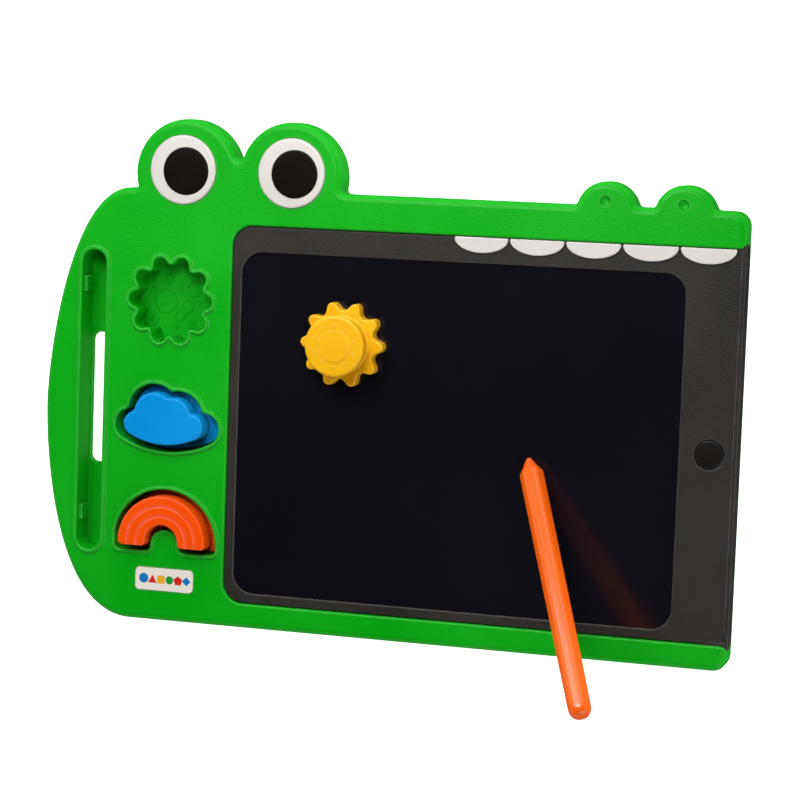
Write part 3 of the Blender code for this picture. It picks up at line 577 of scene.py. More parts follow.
def plastic(name, colour, roughness, grain=0.15, grain_scale=1300.0, variation=0.1, wear_and_highlight=0.12,
            specular=0.5, metallic=0.0, brushed=False):
    """Moulded plastic: cloudy colour, paler edges that are partly rubbed and partly a painted highlight,
    uneven gloss and a fine moulded grain.
    """
    material = bpy.data.materials.new(name)
    material.use_nodes = True
    nodes, links = nodes_of(material)
    shader = nodes["Principled BSDF"]
    shader.inputs["Metallic"].default_value = metallic
    shader.inputs["Specular IOR Level"].default_value = specular
    place = nodes.new("ShaderNodeTexCoord").outputs["Object"]
    if brushed:
        squeeze = nodes.new("ShaderNodeMapping")
        squeeze.inputs["Scale"].default_value = (1.0, 0.06, 1.0)
        links.new(place, squeeze.inputs["Vector"])
        place = squeeze.outputs["Vector"]
    clouds = noise_node(nodes, links, place, 22.0, 3.0)
    speckle = noise_node(nodes, links, place, grain_scale * 0.55, 2.0)
    fine = noise_node(nodes, links, place, grain_scale, 0.0)
    deep = tuple(channel * (1 - variation) for channel in colour)
    light = tuple(min(1.0, channel * (1 + variation) + 0.004) for channel in colour)
    cloudy = mix_colour(nodes, links, ramp_between(nodes, links, clouds, 0.0, 1.0), deep, light)
    dusty = mix_colour(nodes, links, ramp_between(nodes, links, speckle, 0.0, variation * 2),
                       cloudy, light)
    scuffs = noise_node(nodes, links, place, 140.0, 4.0, 0.7)
    # Edges are mixed towards a paler colour: partly rubbed edges, partly a painted highlight along beads,
    # rims, grooves and edge lines.
    edge_wear_and_highlight = math_node(nodes, links, "MULTIPLY", edge_mask(nodes, links, 0.0006),
                     ramp_between(nodes, links, scuffs, 0.35 * wear_and_highlight, 1.6 * wear_and_highlight))
    pale = tuple(channel + (1 - channel) * 0.35 for channel in colour)
    links.new(mix_colour(nodes, links, edge_wear_and_highlight, dusty, pale), shader.inputs["Base Color"])
    gloss = ramp_between(nodes, links, clouds, roughness * 0.9, roughness * 1.1)
    smudge = ramp_between(nodes, links, scuffs, -0.03 * roughness, 0.05 * roughness)
    links.new(math_node(nodes, links, "ADD", gloss, smudge, clamp=True),
              shader.inputs["Roughness"])
    if grain:
        bump = nodes.new("ShaderNodeBump")
        bump.inputs["Strength"].default_value = grain
        bump.inputs["Distance"].default_value = 0.00025
        links.new(fine, bump.inputs["Height"])
        links.new(bump.outputs["Normal"], shader.inputs["Normal"])
    return material


# The higher edge paling on the green, black, blue and orange plastics paints highlights on beads, rims,
# grooves and edge lines.
GREEN = plastic("green_plastic", (0.0005, 0.406, 0.0055), 0.37, grain=0.4, grain_scale=1900.0,
                variation=0.05, wear_and_highlight=0.3, specular=0.17)
GREEN_RELIEF = plastic("green_relief", (0.0005, 0.36, 0.0045), 0.4, grain=0.2, variation=0.05,
                       wear_and_highlight=0.0, specular=0.12)
BLACK = plastic("black_plastic", (0.024, 0.0205, 0.0175), 0.48, grain=0.6, grain_scale=1900.0,
                variation=0.25, wear_and_highlight=0.25, specular=0.2)
WHITE = plastic("white_plastic", (0.70, 0.665, 0.63), 0.36, grain=0.05, variation=0.02, wear_and_highlight=0.05)
PUPIL = plastic("pupil_black", (0.0052, 0.0032, 0.0020), 0.25, grain=0.03, variation=0.2, wear_and_highlight=0.02,
                specular=0.06)
KNOB_BLACK = plastic("button_black", (0.0075, 0.0055, 0.0042), 0.28, grain=0.03, variation=0.2,
                     wear_and_highlight=0.12, specular=0.22)
YELLOW = plastic("yellow_plastic", (0.905, 0.465, 0.003), 0.38, grain=0.08, variation=0.04,
                 wear_and_highlight=0.15, specular=0.25)
BLUE = plastic("blue_plastic", (0.0003, 0.28, 0.72), 0.38, grain=0.12, variation=0.05, wear_and_highlight=0.3,
               specular=0.07)
ORANGE = plastic("orange_plastic", (1.0, 0.085, 0.0005), 0.38, grain=0.08, variation=0.05,
                 wear_and_highlight=0.35, specular=0.14)
STYLUS_ORANGE = plastic("stylus_plastic", (0.92, 0.118, 0.0015), 0.18, grain=0.04, variation=0.15,
                        wear_and_highlight=0.06, specular=0.45)
CREAM = plastic("label_cream", (0.90, 0.85, 0.76), 0.5, grain=0.05, variation=0.02, wear_and_highlight=0.0)
INKS = {
    "blue": plastic("ink_blue", (0.0, 0.19, 0.58), 0.5, grain=0.03, variation=0.05, wear_and_highlight=0.0),
    "red": plastic("ink_red", (0.75, 0.012, 0.006), 0.5, grain=0.03, variation=0.05, wear_and_highlight=0.0),
    "yellow": plastic("ink_yellow", (0.95, 0.48, 0.01), 0.5, grain=0.03, variation=0.05, wear_and_highlight=0.0),
    "green": plastic("ink_green", (0.01, 0.33, 0.04), 0.5, grain=0.03, variation=0.05, wear_and_highlight=0.0),
}
STEEL = plastic("zinc_steel", (0.58, 0.58, 0.6), 0.32, grain=0.08, variation=0.06, wear_and_highlight=0.2,
                metallic=1.0, brushed=True)
BOARD = plastic("solder_mask", (0.01, 0.12, 0.05), 0.35, grain=0.1, variation=0.15, wear_and_highlight=0.1)
SILICONE = plastic("silicone", (0.33, 0.33, 0.34), 0.7, grain=0.1, variation=0.06, wear_and_highlight=0.05)
GREY = plastic("grey_plastic", (0.2, 0.2, 0.21), 0.6, grain=0.15, variation=0.08)


def screen_film():
    """Glossy film over the dark liquid crystal: deep blue-black, faintly cloudy, with smears."""
    material = bpy.data.materials.new("screen_film")
    material.use_nodes = True
    nodes, links = nodes_of(material)
    shader = nodes["Principled BSDF"]
    shader.inputs["Specular IOR Level"].default_value = 0.28
    place = nodes.new("ShaderNodeTexCoord").outputs["Object"]
    clouds = noise_node(nodes, links, place, 9.0, 3.0)
    smears = noise_node(nodes, links, place, 60.0, 5.0, 0.65)
    links.new(mix_colour(nodes, links, ramp_between(nodes, links, clouds, 0.0, 1.0),
                         (0.0036, 0.0037, 0.0062), (0.0050, 0.0052, 0.0088)),
              shader.inputs["Base Color"])
    links.new(ramp_between(nodes, links, smears, 0.1, 0.17), shader.inputs["Roughness"])
    bump = nodes.new("ShaderNodeBump")
    bump.inputs["Strength"].default_value = 0.02
    bump.inputs["Distance"].default_value = 0.0002
    links.new(smears, bump.inputs["Height"])
    links.new(bump.outputs["Normal"], shader.inputs["Normal"])
    return material


# ---------------- the head

def rim(name, outline):
    """The outer half of the bead round a pocket, whose centre line is the outline."""
    return stack(name, outline, [(1.0, FACE_Z - 0.6), (1.0, FACE_Z)]
                 + round_over(FACE_Z + BEAD_H, 1.0, 1.0, steps=7))


def pocket_cut(name, outline):
    """The pocket's hole, flared at the top to leave the inner half of its bead."""
    return stack(name, outline, [(-HOLE_INSET, FOOT_Z - 1)]
                 + flare(FACE_Z + BEAD_H, 0.85, -HOLE_INSET, steps=7)
                 + [(0.05, FACE_Z + 3)])


def front_face():
    """The green front with its pockets, beads, stylus channel and seats for the face details."""
    outline = head_outline()
    shell = stack("head_front", outline, [(-0.25, SHELL_LOW), (0.0, SHELL_LOW + 0.25)]
                  + round_over(FACE_Z, FACE_ROUND, steps=10))
    shell = combine(shell, [prism("hollow", grown(outline, -WALL), SHELL_LOW - 1, INSIDE_Z)])
    bead = grown(channel_outline(), 1.0)
    added = [
        prism("sun_wall", circle(*SUN_POCKET, 22.3), FOOT_Z, INSIDE_Z + 1),
        prism("cloud_wall", cloud_outline(1.2), FOOT_Z, INSIDE_Z + 1),
        prism("rainbow_wall", rainbow_rim(1.2), FOOT_Z, INSIDE_Z + 1),
        prism("channel_wall", channel_outline(2.0), FOOT_Z, INSIDE_Z + 1),
        prism("jaw_wall", jaw_outline(2.0, lips=False, right=RIGHT_X - 1), FOOT_Z, INSIDE_Z + 1),
        rim("sun_rim", sun_outline(SUN_POCKET)),
        rim("cloud_rim", cloud_outline()),
        rim("rainbow_rim", rainbow_rim()),
        rim("channel_rim", bead),
    ]
    shell = combine(shell, added, "UNION")
    taken = [
        pocket_cut("sun_hole", sun_outline(SUN_POCKET)),
        pocket_cut("cloud_hole", cloud_outline()),
        pocket_cut("rainbow_hole", rainbow_rim()),
        stack("channel_hole", bead, [(-1.0, FOOT_Z - 1)] + flare(FACE_Z + BEAD_H, 0.95, -1.0, steps=7)
              + [(-0.05, FACE_Z + 3)]),
        stack("jaw_hole", jaw_outline(), [(0.0, FOOT_Z - 1)] + flare(FACE_Z, 1.1)
              + [(1.1, FACE_Z + 3)]),
        stack("badge_seat", badge_outline(), [(GAP, FACE_Z - GAP), (GAP, FACE_Z + 2)]),
    ]
    for side, (x, y, _, _) in EYES.items():
        taken.append(prism(f"eye_seat_{side}", circle(x, y, EYE_R + GAP), FACE_Z - 0.7, FACE_Z + 2))
    for index, (x, y, _) in enumerate(NOSE_BUMPS):
        at = (x + NOSTRIL_SHIFT[0], y + NOSTRIL_SHIFT[1])
        taken.append(nostril(f"nostril_{index}", at))
    for index, turn in enumerate((72, 252)):
        taken.append(wall_slot(f"wall_slot_{index}", turn))
    shell = combine(shell, taken)
    wall_x = CHANNEL_X - CHANNEL_HALF
    nubs = [stack(f"nub_{index}", rounded_box(wall_x - 0.6, wall_x + 1.3, low, high, 0.4),
                  [(0.0, 6.5)] + round_over(13.0, 0.35, steps=3))
            for index, (low, high) in enumerate(NUB_SPANS)]
    shell = combine(shell, nubs, "UNION")
    piece(shell, "frame", GREEN, "green_plastic", "front_shell")


def nostril(name, centre):
    """A ball that leaves a round dimple with a softened rim."""
    radius, depth, middle = 2.6, 1.95, FACE_Z + 0.2
    turns = [math.pi * step / 24 for step in range(25)]
    return lathe(name, [(radius * math.sin(t), middle - depth * math.cos(t)) for t in turns],
                 centre, steps=48)


def wall_slot(name, turn):
    """A narrow upright slot in the outer wall of one lobe of the sun pocket."""
    slot = rounded_box(SUN_LOBE_CENTRE, SUN_LOBE_CENTRE + SUN_LOBE_R + 0.5, -0.85, 0.85, 0.2)
    c, s = math.cos(math.radians(turn)), math.sin(math.radians(turn))
    placed = [(SUN_POCKET[0] + x * c - y * s, SUN_POCKET[1] + x * s + y * c) for x, y in slot]
    return prism(name, placed, FOOT_Z - 1, FACE_Z - 5)


def screw_hole(name, centre):
    profile = [(0.0, -1.0), (3.3, -1.0), (3.0, 0.2), (3.0, 1.6), (1.6, 1.6), (1.6, FLOOR_Z + 1),
               (0.0, FLOOR_Z + 1)]
    return lathe(name, profile, centre, steps=40)


def back_cover():
    """The green back with the channel's slot, the battery recess and the screw holes."""
    outline = head_outline()
    shell = stack("head_back", outline, round_under(0.0, BACK_ROUND, steps=8)
                  + [(0.0, SPLIT_Z - 0.25), (-0.25, SPLIT_Z)])
    x, y, half_x, half_y = DOOR
    door = rounded_box(x - half_x, x + half_x, y - half_y, y + half_y, 3.0)
    slot = rounded_box(CHANNEL_X - SLOT_HALF, CHANNEL_X + SLOT_HALF, SLOT_LOW, SLOT_HIGH, SLOT_R)
    taken = [
        prism("back_hollow", grown(outline, -WALL), FLOOR_Z, SPLIT_Z + 1),
        prism("back_jaw", jaw_outline(2.6, lips=False), FLOOR_Z, SPLIT_Z + 1),
        stack("slot", slot, [(0.6, -1.0), (0.6, 0.0), (0.2, 0.25), (0.0, 0.6), (0.0, FLOOR_Z - 0.4),
                             (0.3, FLOOR_Z), (0.3, FLOOR_Z + 1)]),
        stack("door_recess", door, [(0.6, -1.0), (0.6, 0.0), (GAP, 0.3), (GAP, 2.3)]),
        prism("cell_opening", circle(*CELL, 12.2), 1.0, FLOOR_Z + 1),
        prism("door_screw_hole", circle(*DOOR_SCREW, 1.6), 1.2, FLOOR_Z + 1),
    ]
    for index, centre in enumerate(FRAME_SCREWS + TABLET_SCREWS):
        taken.append(screw_hole(f"hole_{index}", centre))
    shell = combine(shell, taken)
    piece(shell, "frame", GREEN, "green_plastic", "back_shell")


def ring(outer, inner, centre, low, high, steps=40):
    """A flat ring with softened edges."""
    soft = 0.08
    if inner <= 0:
        profile = [(0.0, low), (outer, low), (outer, high - soft), (outer - soft, high), (0.0, high)]
        return lathe("ring", profile, centre, steps)
    shape = bmesh.new()
    section = [(inner, low), (outer, low), (outer, high - soft), (outer - soft, high),
               (inner + soft, high), (inner, high - soft)]
    rings = []
    for step in range(steps):
        t = 2 * math.pi * step / steps
        rings.append([shape.verts.new(((centre[0] + r * math.cos(t)) * MM,
                                       (centre[1] + r * math.sin(t)) * MM, z * MM))
                      for r, z in section])
    for index, here in enumerate(rings):
        after = rings[(index + 1) % steps]
        for corner in range(len(section)):
            following = (corner + 1) % len(section)
            shape.faces.new((here[corner], after[corner], after[following], here[following]))
    return as_object(shape, "ring")


def merged(name, things):
    """One object of several closed bodies that don't touch."""
    shape = bmesh.new()
    for thing in things:
        shape.from_mesh(thing.data)
        bpy.data.objects.remove(thing, do_unlink=True)
    return as_object(shape, name)


def pocket_relief():
    """Shallow rings and dots moulded on the floor of the sun pocket."""
    low, high = FLOOR_Z - 0.2, FLOOR_Z + 0.22
    # Place from the pocket's centre, outer radius and inner radius
    marks = [(-6.9, -1.3, 5.6, 4.9), (0.1, -7.8, 2.6, 1.9), (7.1, 4.7, 3.8, 3.2), (0.1, 4.7, 1.7, 0.0),
             (9.6, -1.3, 1.4, 0.8), (4.1, -3.1, 3.0, 2.4), (6.1, -11.6, 2.1, 0.0), (-1.2, -12.8, 1.2, 0.0),
             (-8.1, -3.0, 1.2, 0.0), (-12.9, 3.7, 1.5, 0.9), (-5.4, 9.2, 2.2, 1.6), (-11.9, -9.8, 2.0, 1.4)]
    things = [ring(outer, inner, (SUN_POCKET[0] + x, SUN_POCKET[1] + y), low, high)
              for x, y, outer, inner in marks]
    piece(merged("sun_pocket_relief", things), "frame", GREEN_RELIEF, "green_plastic")


# ---------------- the tablet

def bezel():
    """The black front frame of the tablet, with a step down at its open end."""
    outline = jaw_outline(-GAP, lips=False, right=RIGHT_X, corner=1.2)
    body = stack("bezel", outline, [(-0.25, BEZEL_LOW), (0.0, BEZEL_LOW + 0.25)]
                 + round_over(BEZEL_Z, 0.8))
    window = rounded_box(-WINDOW[0], WINDOW[0], -WINDOW[1], WINDOW[1], WINDOW[2])
    seat = rounded_box(-103.9, 103.9, -80.5, 80.5, 2.0)
    step_width, step_depth = 1.6, 0.6
    lips = ((RIGHT_X - LIP_R, JAW_BOTTOM - LIP_R), (RIGHT_X - LIP_R, JAW_TOP + LIP_R))
    ends = rounded_box(RIGHT_X - 12, RIGHT_X, lips[0][1] + 1, lips[1][1] - 1, 0.8)
    body = combine(body, [stack("bezel_ends", ends, [(-0.05, BEZEL_LOW)] + round_over(BEZEL_Z, 0.8))],
                   "UNION")
    body = combine(body, [prism("lip", circle(*lip, LIP_R + GAP), BEZEL_LOW - 1, BEZEL_Z + 1)
                          for lip in lips])
    taken = [
        prism("bezel_hollow", grown(outline, -2.0), BEZEL_LOW - 1, BEZEL_Z - 1.6),
        prism("panel_seat", seat, BEZEL_LOW - 1, SCREEN_Z + GAP),
        stack("window", window, [(0.0, SCREEN_Z - 1)] + flare(BEZEL_Z, 0.6)
              + [(0.6, BEZEL_Z + 2)]),
        prism("end_step", rounded_box(RIGHT_X - step_width, RIGHT_X + 2, JAW_BOTTOM - 9,
                                      JAW_TOP + 9, 0.1),
              BEZEL_Z - step_depth, BEZEL_Z + 2),
        stack("button_hole", circle(*BUTTON, 6.6), [(0.0, BEZEL_LOW)] + flare(BEZEL_Z, 0.45)
              + [(0.45, BEZEL_Z + 2)]),
    ]
    piece(combine(body, taken), "frame", BLACK, "black_plastic", "tablet_bezel")


def button():
    low, high = low_of("erase_button").z, high_of("erase_button").z
    crown = [(6.2 - 0.5 + 0.5 * math.cos(t), BEZEL_Z - 0.4 + 0.4 * math.sin(t))
             for t in [math.pi / 2 * step / 5 for step in range(6)]]
    dome = [(r, high - (high - BEZEL_Z) * (r / 5.7) ** 2) for r in (5.0, 4.0, 3.0, 2.0, 1.0, 0.0)]
    profile = [(0.0, low), (7.8, low), (7.8, low + 0.8), (6.2, low + 0.8)] + crown + dome
    piece(lathe("button_cap", profile, BUTTON), "button", KNOB_BLACK, "gloss_black",
          "erase_button")


# ---------------- face details

def eyes():
    for side, (x, y, dx, dy) in EYES.items():
        seat = low_of(f"eye_white_{side}").z
        top = high_of(f"eye_white_{side}").z
        edge = 1.1
        flat_r = EYE_R - edge
        shoulder = seat + 0.7 + edge * 0.75
        crown = [(flat_r + edge * math.cos(t), seat + 0.7 + (shoulder - seat - 0.7) * math.sin(t))
                 for t in [math.pi / 2 * step / 6 for step in range(7)]]
        dome = [(r, top - (top - shoulder) * (r / flat_r) ** 2.4)
                for r in [flat_r * (1 - step / 10) for step in range(1, 11)]]
        white = lathe(f"white_of_{side}_eye", [(0.0, seat), (EYE_R, seat)] + crown + dome, (x, y),
                      steps=128)
        pupil_at = (x + dx, y + dy)
        hole = prism("pupil_hole", circle(*pupil_at, PUPIL_R + 0.12), seat + 0.8, top + 2)
        piece(combine(white, [hole]), "frame", WHITE, "white_plastic", f"eye_white_{side}")
        low = low_of(f"eye_pupil_{side}").z
        high = top - 0.1
        lens = [(PUPIL_R, low), (PUPIL_R, high - 0.5), (PUPIL_R - 0.1, high - 0.3),
                (PUPIL_R - 0.4, high - 0.15), (PUPIL_R - 1.0, high - 0.08), (7.0, high - 0.02),
                (0.0, high)]
        piece(lathe(f"pupil_of_{side}_eye", [(0.0, low)] + lens, pupil_at, steps=128), "frame",
              PUPIL, "gloss_black", f"eye_pupil_{side}")


def teeth():
    for index, x in enumerate(TOOTH_CENTRES, 1):
        node = f"tooth_{index}"
        low, high = low_of(node).z, high_of(node).z
        tooth = stack(f"tooth_cap_{index}", tooth_outline(x), [(0.0, low)]
                      + round_over(high, 0.5, steps=5))
        piece(tooth, "frame", WHITE, "white_plastic", node)


def badge_outline():
    x, y, width, height = BADGE
    return rounded_box(x - width / 2, x + width / 2, y - height / 2, y + height / 2, 2.0)


def polygon(x, y, radius, sides, turn=90.0):
    return [(x + radius * math.cos(math.radians(turn + 360 * k / sides)),
             y + radius * math.sin(math.radians(turn + 360 * k / sides))) for k in range(sides)]


def badge():
    """A cream label with a row of plain coloured shapes."""
    low, high = low_of("badge_label").z, high_of("badge_label").z
    label = stack("label_base", badge_outline(), [(0.0, low)] + round_over(high, 0.1, steps=3))
    piece(label, "frame", CREAM, "label", "badge_label")
    x, y = BADGE[0], BADGE[1]
    row = [("blue", circle(x - 10.0, y + 0.2, 2.3)), ("red", polygon(x - 5.7, y - 0.5, 2.5, 3)),
           ("yellow", polygon(x - 1.5, y, 2.6, 4, 45.0)), ("green", circle(x + 2.7, y, 1.9)),
           ("red", polygon(x + 6.9, y - 0.1, 2.3, 5)), ("blue", polygon(x + 11.0, y, 2.1, 4))]
    for ink in INKS:
        things = [prism("mark", outline, high - 0.05, high + 0.03) for name, outline in row
                  if name == ink]
        piece(merged(f"label_marks_{ink}", things), "frame", INKS[ink], "label")


# ---------------- stamps

def stamp(name, body, base, plate_seat, grips, low, material, slot):
    """A base and its finger grip in one, with a seat below for the printing plate."""
    block = stack(f"{name}_body", base, [(-0.3, low), (0.0, low + 0.3)]
                  + round_over(low + BASE_H, 1.1, steps=6))
    block = combine(block, grips, "UNION")
    block = combine(block, [prism("seat", plate_seat, low - 1, low + PLATE_TOP)])
    return piece(block, body, material, slot, f"{name}_stamp_body")


def sun_stamp():
    low = low_of("sun_stamp_body").z
    top = low + STAMP_H - 0.5
    foot = low + BASE_H
    fillet = [(KNOB_FOOT_R + 1.0 - math.sin(t), foot + 1.0 - math.cos(t))
              for t in [math.pi / 2 * step / 5 for step in range(6)]]
    crown = [(KNOB_R - 1.6 + 1.6 * math.cos(t), top - 1.6 + 1.6 * math.sin(t))
             for t in [math.pi / 2 * step / 7 for step in range(8)]]
    knob = lathe("sun_knob", [(0.0, foot - 1), (KNOB_FOOT_R + 1.0, foot - 1)] + fillet + crown
                 + [(0.0, top)], SUN_REST)
    disc = lathe("sun_disc", [(0.0, top - 0.5), (7.3, top - 0.5), (7.3, top + 0.2),
                              (7.1, top + 0.42), (6.7, top + 0.5), (0.0, top + 0.5)], SUN_REST)
    rays = [sun_ray(f"sun_ray_{index}", 36 * index + 18, top) for index in range(10)]
    stamp("sun", "sun_stamp", sun_outline(SUN_REST, -1.7, SUN_TURN),
          sun_outline(SUN_REST, -3.0, SUN_TURN), [knob, disc] + rays, low, YELLOW,
          "yellow_plastic")


def sun_ray(name, turn, top):
    """A small three-sided peak that points outwards."""
    shape = bmesh.new()
    at = math.radians(turn) + SUN_TURN
    out = Vector((math.cos(at), math.sin(at), 0.0))
    side = Vector((-out.y, out.x, 0.0))
    centre = Vector((*SUN_REST, 0.0))
    sunk, peak = top - 0.4, top + 0.5
    base = [centre + out * 8.5 + side * 1.55, centre + out * 8.5 - side * 1.55, centre + out * 11.2]
    corners = [shape.verts.new((p + Vector((0, 0, sunk))) * MM) for p in base]
    tip = shape.verts.new((centre + out * 9.4 + Vector((0, 0, peak))) * MM)
    shape.faces.new(reversed(corners))
    for index in range(3):
        shape.faces.new((corners[index], corners[(index + 1) % 3], tip))
    return as_object(shape, name)


def cloud_stamp():
    low = low_of("cloud_stamp_body").z
    grip = stack("cloud_grip", cloud_outline(**CLOUD_GRIP),
                 [(0.0, low + 5), (0.0, low + STAMP_H - 2)]
                 + round_over(low + STAMP_H, 1.1, steps=6))
    stamp("cloud", "cloud_stamp", cloud_outline(-1.5), cloud_outline(-3.0), [grip], low, BLUE,
          "blue_plastic")


def rainbow_stamp():
    low = low_of("rainbow_stamp_body").z
    top = low + STAMP_H
    grip = stack("rainbow_grip", rainbow_outline(*RAINBOW_GRIP), [(0.0, low + 5), (0.0, top - 2)]
                 + round_over(top, 1.0, steps=6))
    (x, y), _, _, foot, _ = RAINBOW_GRIP
    grooves = []
    for radius in RAINBOW_GROOVES:
        turns = [math.pi * step / 48 for step in range(49)]
        route = [(x + radius, y - foot - 2, top + 0.25)]
        route += [(x + radius * math.cos(t), y + radius * math.sin(t), top + 0.25) for t in turns]
        route += [(x - radius, y - foot - 2, top + 0.25)]
        grooves.append(tube(f"groove_{radius}", route, 0.6))
    grip = combine(grip, grooves)
    stamp("rainbow", "rainbow_stamp", rainbow_rim(-1.5), rainbow_rim(-2.8), [grip], low, ORANGE,
          "orange_plastic")


# ---------------- stylus

def hexagon(radius, corner_share=0.6):
    corner_r = radius * corner_share
    reach = radius - corner_r
    points = []
    for side in range(6):
        turn = math.radians(60 * side + STYLUS_ROLL)
        x, y = reach * math.cos(turn), reach * math.sin(turn)
        for step in range(7):
            lean = turn + math.radians(-30 + 10 * step)
            points.append((x + corner_r * math.cos(lean), y + corner_r * math.sin(lean)))
    return points


def stylus():
    """A tapering six-sided pen: round tip, faceted cone, long shaft and a rounded tail."""
    # Stations are the distance along, the radius and how far the corners are rounded
    cone, front, back, corner = 6.6, 5.4, 5.0, 0.6
    tail = STYLUS_LENGTH - 5.5
    stations = [(-1.58, 0.2, 1.0), (-1.45, 0.68, 1.0), (-1.2, 1.06, 1.0), (-0.74, 1.42, 1.0),
                (0.4, 2.02, 0.8), (cone - 0.6, front - 0.5, corner), (cone, front - 0.17, corner),
                (cone + 0.5, front - 0.03, corner), (cone + 1.2, front, corner),
                (tail, back, corner)]
    stations += [(tail + 5.0 * math.sin(t), back * (0.3 + 0.7 * math.cos(t) ** 0.8),
                  corner + 0.3 * math.sin(t)) for t in [math.radians(a) for a in (15, 30, 45, 60, 75)]]
    stations += [(STYLUS_LENGTH - 0.4, back * 0.26, 0.9)]
    shape = bmesh.new()
    rings = [[shape.verts.new(Vector((x, y, along)) * MM) for x, y in hexagon(radius, share)]
             for along, radius, share in stations]
    for lower, upper in zip(rings, rings[1:]):
        for index in range(len(lower)):
            after = (index + 1) % len(lower)
            shape.faces.new((lower[index], lower[after], upper[after], upper[index]))
    shape.faces.new(reversed(rings[0]))
    shape.faces.new(rings[-1])
    level = math.cos(ELEVATION)
    direction = Vector((level * math.cos(AZIMUTH), level * math.sin(AZIMUTH), math.sin(ELEVATION)))
    turn = direction.to_track_quat("Z", "Y").to_matrix().to_4x4()
    bmesh.ops.transform(shape, matrix=Matrix.Translation(TIP * MM) @ turn, verts=shape.verts)
    piece(as_object(shape, "stylus_pen"), "pen", STYLUS_ORANGE, "stylus_plastic", "stylus",
          sharp=50.0)


# ---------------- back: screws and battery door

def cross_screw(name, body, node, centre):
    """A pan-head screw with a cross recess, head down."""
    low, tip = low_of(node).z, high_of(node).z
    head = [(0.0, low), (1.7, low), (2.2, low + 0.12), (2.55, low + 0.35), (2.7, low + 0.65),
            (2.7, low + 1.0), (1.0, low + 1.0), (1.0, tip - 1.6), (0.0, tip)]
    screw = lathe(name, head, centre, steps=40)
    x, y = centre
    recess = [stack("recess", polygon_bar(x, y, turn), [(0.0, low - 1), (0.0, low), (-0.12, low + 0.75)])
              for turn in (20, 110)]
    piece(combine(screw, recess), body, STEEL, "steel", node)


def polygon_bar(x, y, turn, half_length=1.5, half_width=0.32):
    c, s = math.cos(math.radians(turn)), math.sin(math.radians(turn))
    corners = ((half_length, -half_width), (half_length, half_width),
               (-half_length, half_width), (-half_length, -half_width))
    return [(x + u * c - v * s, y + u * s + v * c) for u, v in corners]


def battery_door():
    x, y, half_x, half_y = DOOR
    low = low_of("battery_door").z
    outline = rounded_box(x - half_x, x + half_x, y - half_y, y + half_y, 3.0)
    door = stack("door_plate", outline, round_under(low, 0.5, steps=4) + [(0.0, low + 1.7)])
    door = combine(door, [prism("collar", circle(*CELL, 11.0), low + 1, 4.1)], "UNION")
    ribs = [stack("rib", rounded_box(x - 18.5 + 2.6 * k, x - 17.3 + 2.6 * k, y - 8, y + 8, 0.6),
                  [(0.0, low - 1), (0.0, low + 0.35), (-0.3, low + 0.6)]) for k in range(4)]
    taken = ribs + [prism("collar_inside", circle(*CELL, 9.0), low + 1.7, 5.0),
                    screw_hole("door_hole", DOOR_SCREW)]
    piece(combine(door, taken), "door", GREEN, "green_plastic", "battery_door")
    cross_screw("door_screw", "door", "battery_door_screw", DOOR_SCREW)


# ---------------- set

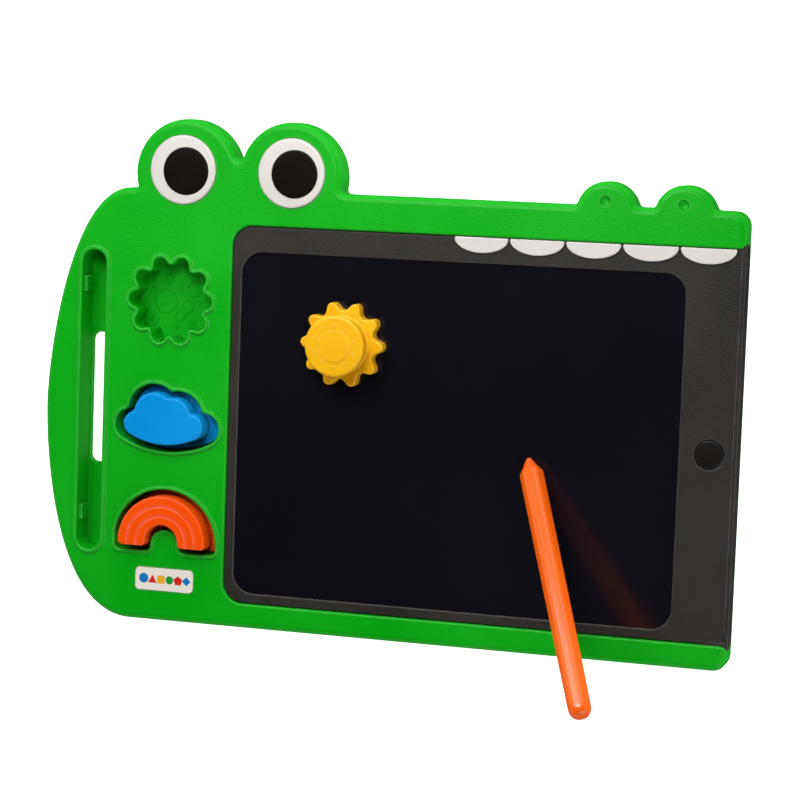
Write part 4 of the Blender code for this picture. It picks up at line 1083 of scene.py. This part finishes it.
def studio():
    """A pale paper floor, soft boxes and a dim sky that is bright only near the horizon."""
    floor_mesh = bpy.data.meshes.new("studio_floor")
    shape = bmesh.new()
    bmesh.ops.create_grid(shape, x_segments=8, y_segments=8, size=4.0)
    bmesh.ops.translate(shape, vec=(0.0, 0.0, cad_box[0].z - 0.0003), verts=shape.verts)
    shape.to_mesh(floor_mesh)
    shape.free()
    floor = bpy.data.objects.new("studio_floor", floor_mesh)
    bpy.context.scene.collection.objects.link(floor)
    paper = bpy.data.materials.new("paper_sweep")
    paper.use_nodes = True
    nodes, links = nodes_of(paper)
    shader = nodes["Principled BSDF"]
    place = nodes.new("ShaderNodeTexCoord").outputs["Object"]
    fibres = noise_node(nodes, links, place, 400.0, 3.0)
    links.new(mix_colour(nodes, links, fibres, (0.93, 0.93, 0.93), (0.97, 0.97, 0.97)),
              shader.inputs["Base Color"])
    shader.inputs["Emission Color"].default_value = (1.0, 1.0, 1.0, 1.0)
    shader.inputs["Emission Strength"].default_value = 1.0
    shader.inputs["Roughness"].default_value = 0.9
    shader.inputs["Specular IOR Level"].default_value = 0.1
    floor_mesh.materials.append(paper)
    floor.visible_glossy = False

    softboxes = {
        "key": ((-0.35, 0.75, 0.70), 0.5, 4.7),
        "fill_low": ((0.90, -0.90, 1.00), 1.0, 8.8),
        "back": ((0.30, 1.20, 0.60), 0.8, 3.2),
        "near_top": ((0.00, 0.30, 0.50), 0.15, 1.2),
        "near_left": ((-0.35, 0.30, 0.60), 0.2, 0.6),
    }
    for name, (at, size, power) in softboxes.items():
        lamp = bpy.data.lights.new(name, "AREA")
        lamp.shape = "SQUARE"
        lamp.size = size
        lamp.energy = power
        softbox = bpy.data.objects.new(name, lamp)
        softbox.location = at
        softbox.rotation_euler = (-Vector(at)).to_track_quat("-Z", "Y").to_euler()
        bpy.context.scene.collection.objects.link(softbox)

    world = bpy.data.worlds.new("studio")
    world.use_nodes = True
    nodes, links = world.node_tree.nodes, world.node_tree.links
    direction = nodes.new("ShaderNodeTexCoord").outputs["Generated"]
    split = nodes.new("ShaderNodeSeparateXYZ")
    links.new(direction, split.inputs[0])
    raised = math_node(nodes, links, "ADD", split.outputs["Z"], 1.0)
    height = math_node(nodes, links, "MULTIPLY", raised, 0.5)
    ramp = nodes.new("ShaderNodeValToRGB")
    # Brightness from straight down at 0 over the horizon at 0.5 to straight up at 1
    bands = ((0.49, 0.05), (0.5, 1.28), (0.59, 1.28), (0.65, 0.03))
    while len(ramp.color_ramp.elements) < len(bands):
        ramp.color_ramp.elements.new(0.5)
    for element, (position, grey) in zip(ramp.color_ramp.elements, bands):
        element.position = position
        element.color = (grey, grey, grey, 1.0)
    links.new(height, ramp.inputs["Fac"])
    links.new(ramp.outputs["Color"], nodes["Background"].inputs["Color"])
    bpy.context.scene.world = world


def camera():
    """A long lens above the toy's right side, tilted a little as a hand-held one."""
    lens = bpy.data.cameras.new("camera")
    lens.lens = 119.5
    lens.sensor_width = 36.0
    lens.clip_start = 0.05
    eye = bpy.data.objects.new("camera", lens)
    eye.location = Vector((304.34, 137.08, 1152.63)) * MM
    eye.rotation_euler = [math.radians(angle) for angle in (-5.253, 16.345, 2.170)]
    bpy.context.scene.collection.objects.link(eye)
    bpy.context.scene.camera = eye


front_face()
back_cover()
pocket_relief()
bezel()
button()
eyes()
teeth()
badge()
sun_stamp()
cloud_stamp()
rainbow_stamp()
stylus()
for index, centre in enumerate(FRAME_SCREWS, 1):
    cross_screw(f"frame_cross_screw_{index}", "frame", f"frame_screw_{index}", centre)
for index, centre in enumerate(TABLET_SCREWS, 1):
    cross_screw(f"tablet_cross_screw_{index}", "frame", f"tablet_screw_{index}", centre)
battery_door()

KEPT = {
    "lcd_writing_panel": screen_film(), "tablet_rear_case": BLACK, "lcd_backing_plate": GREY,
    "circuit_board": BOARD, "coin_cell": STEEL, "battery_clip": STEEL, "button_dome": SILICONE,
    "sun_stamp_plate": YELLOW, "cloud_stamp_plate": BLUE, "rainbow_stamp_plate": ORANGE,
}
for node, material in KEPT.items():
    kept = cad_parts[node]
    kept.data.materials.clear()
    kept.data.materials.append(material)

studio()
camera()
bpy.context.scene.view_settings.view_transform = "Standard"
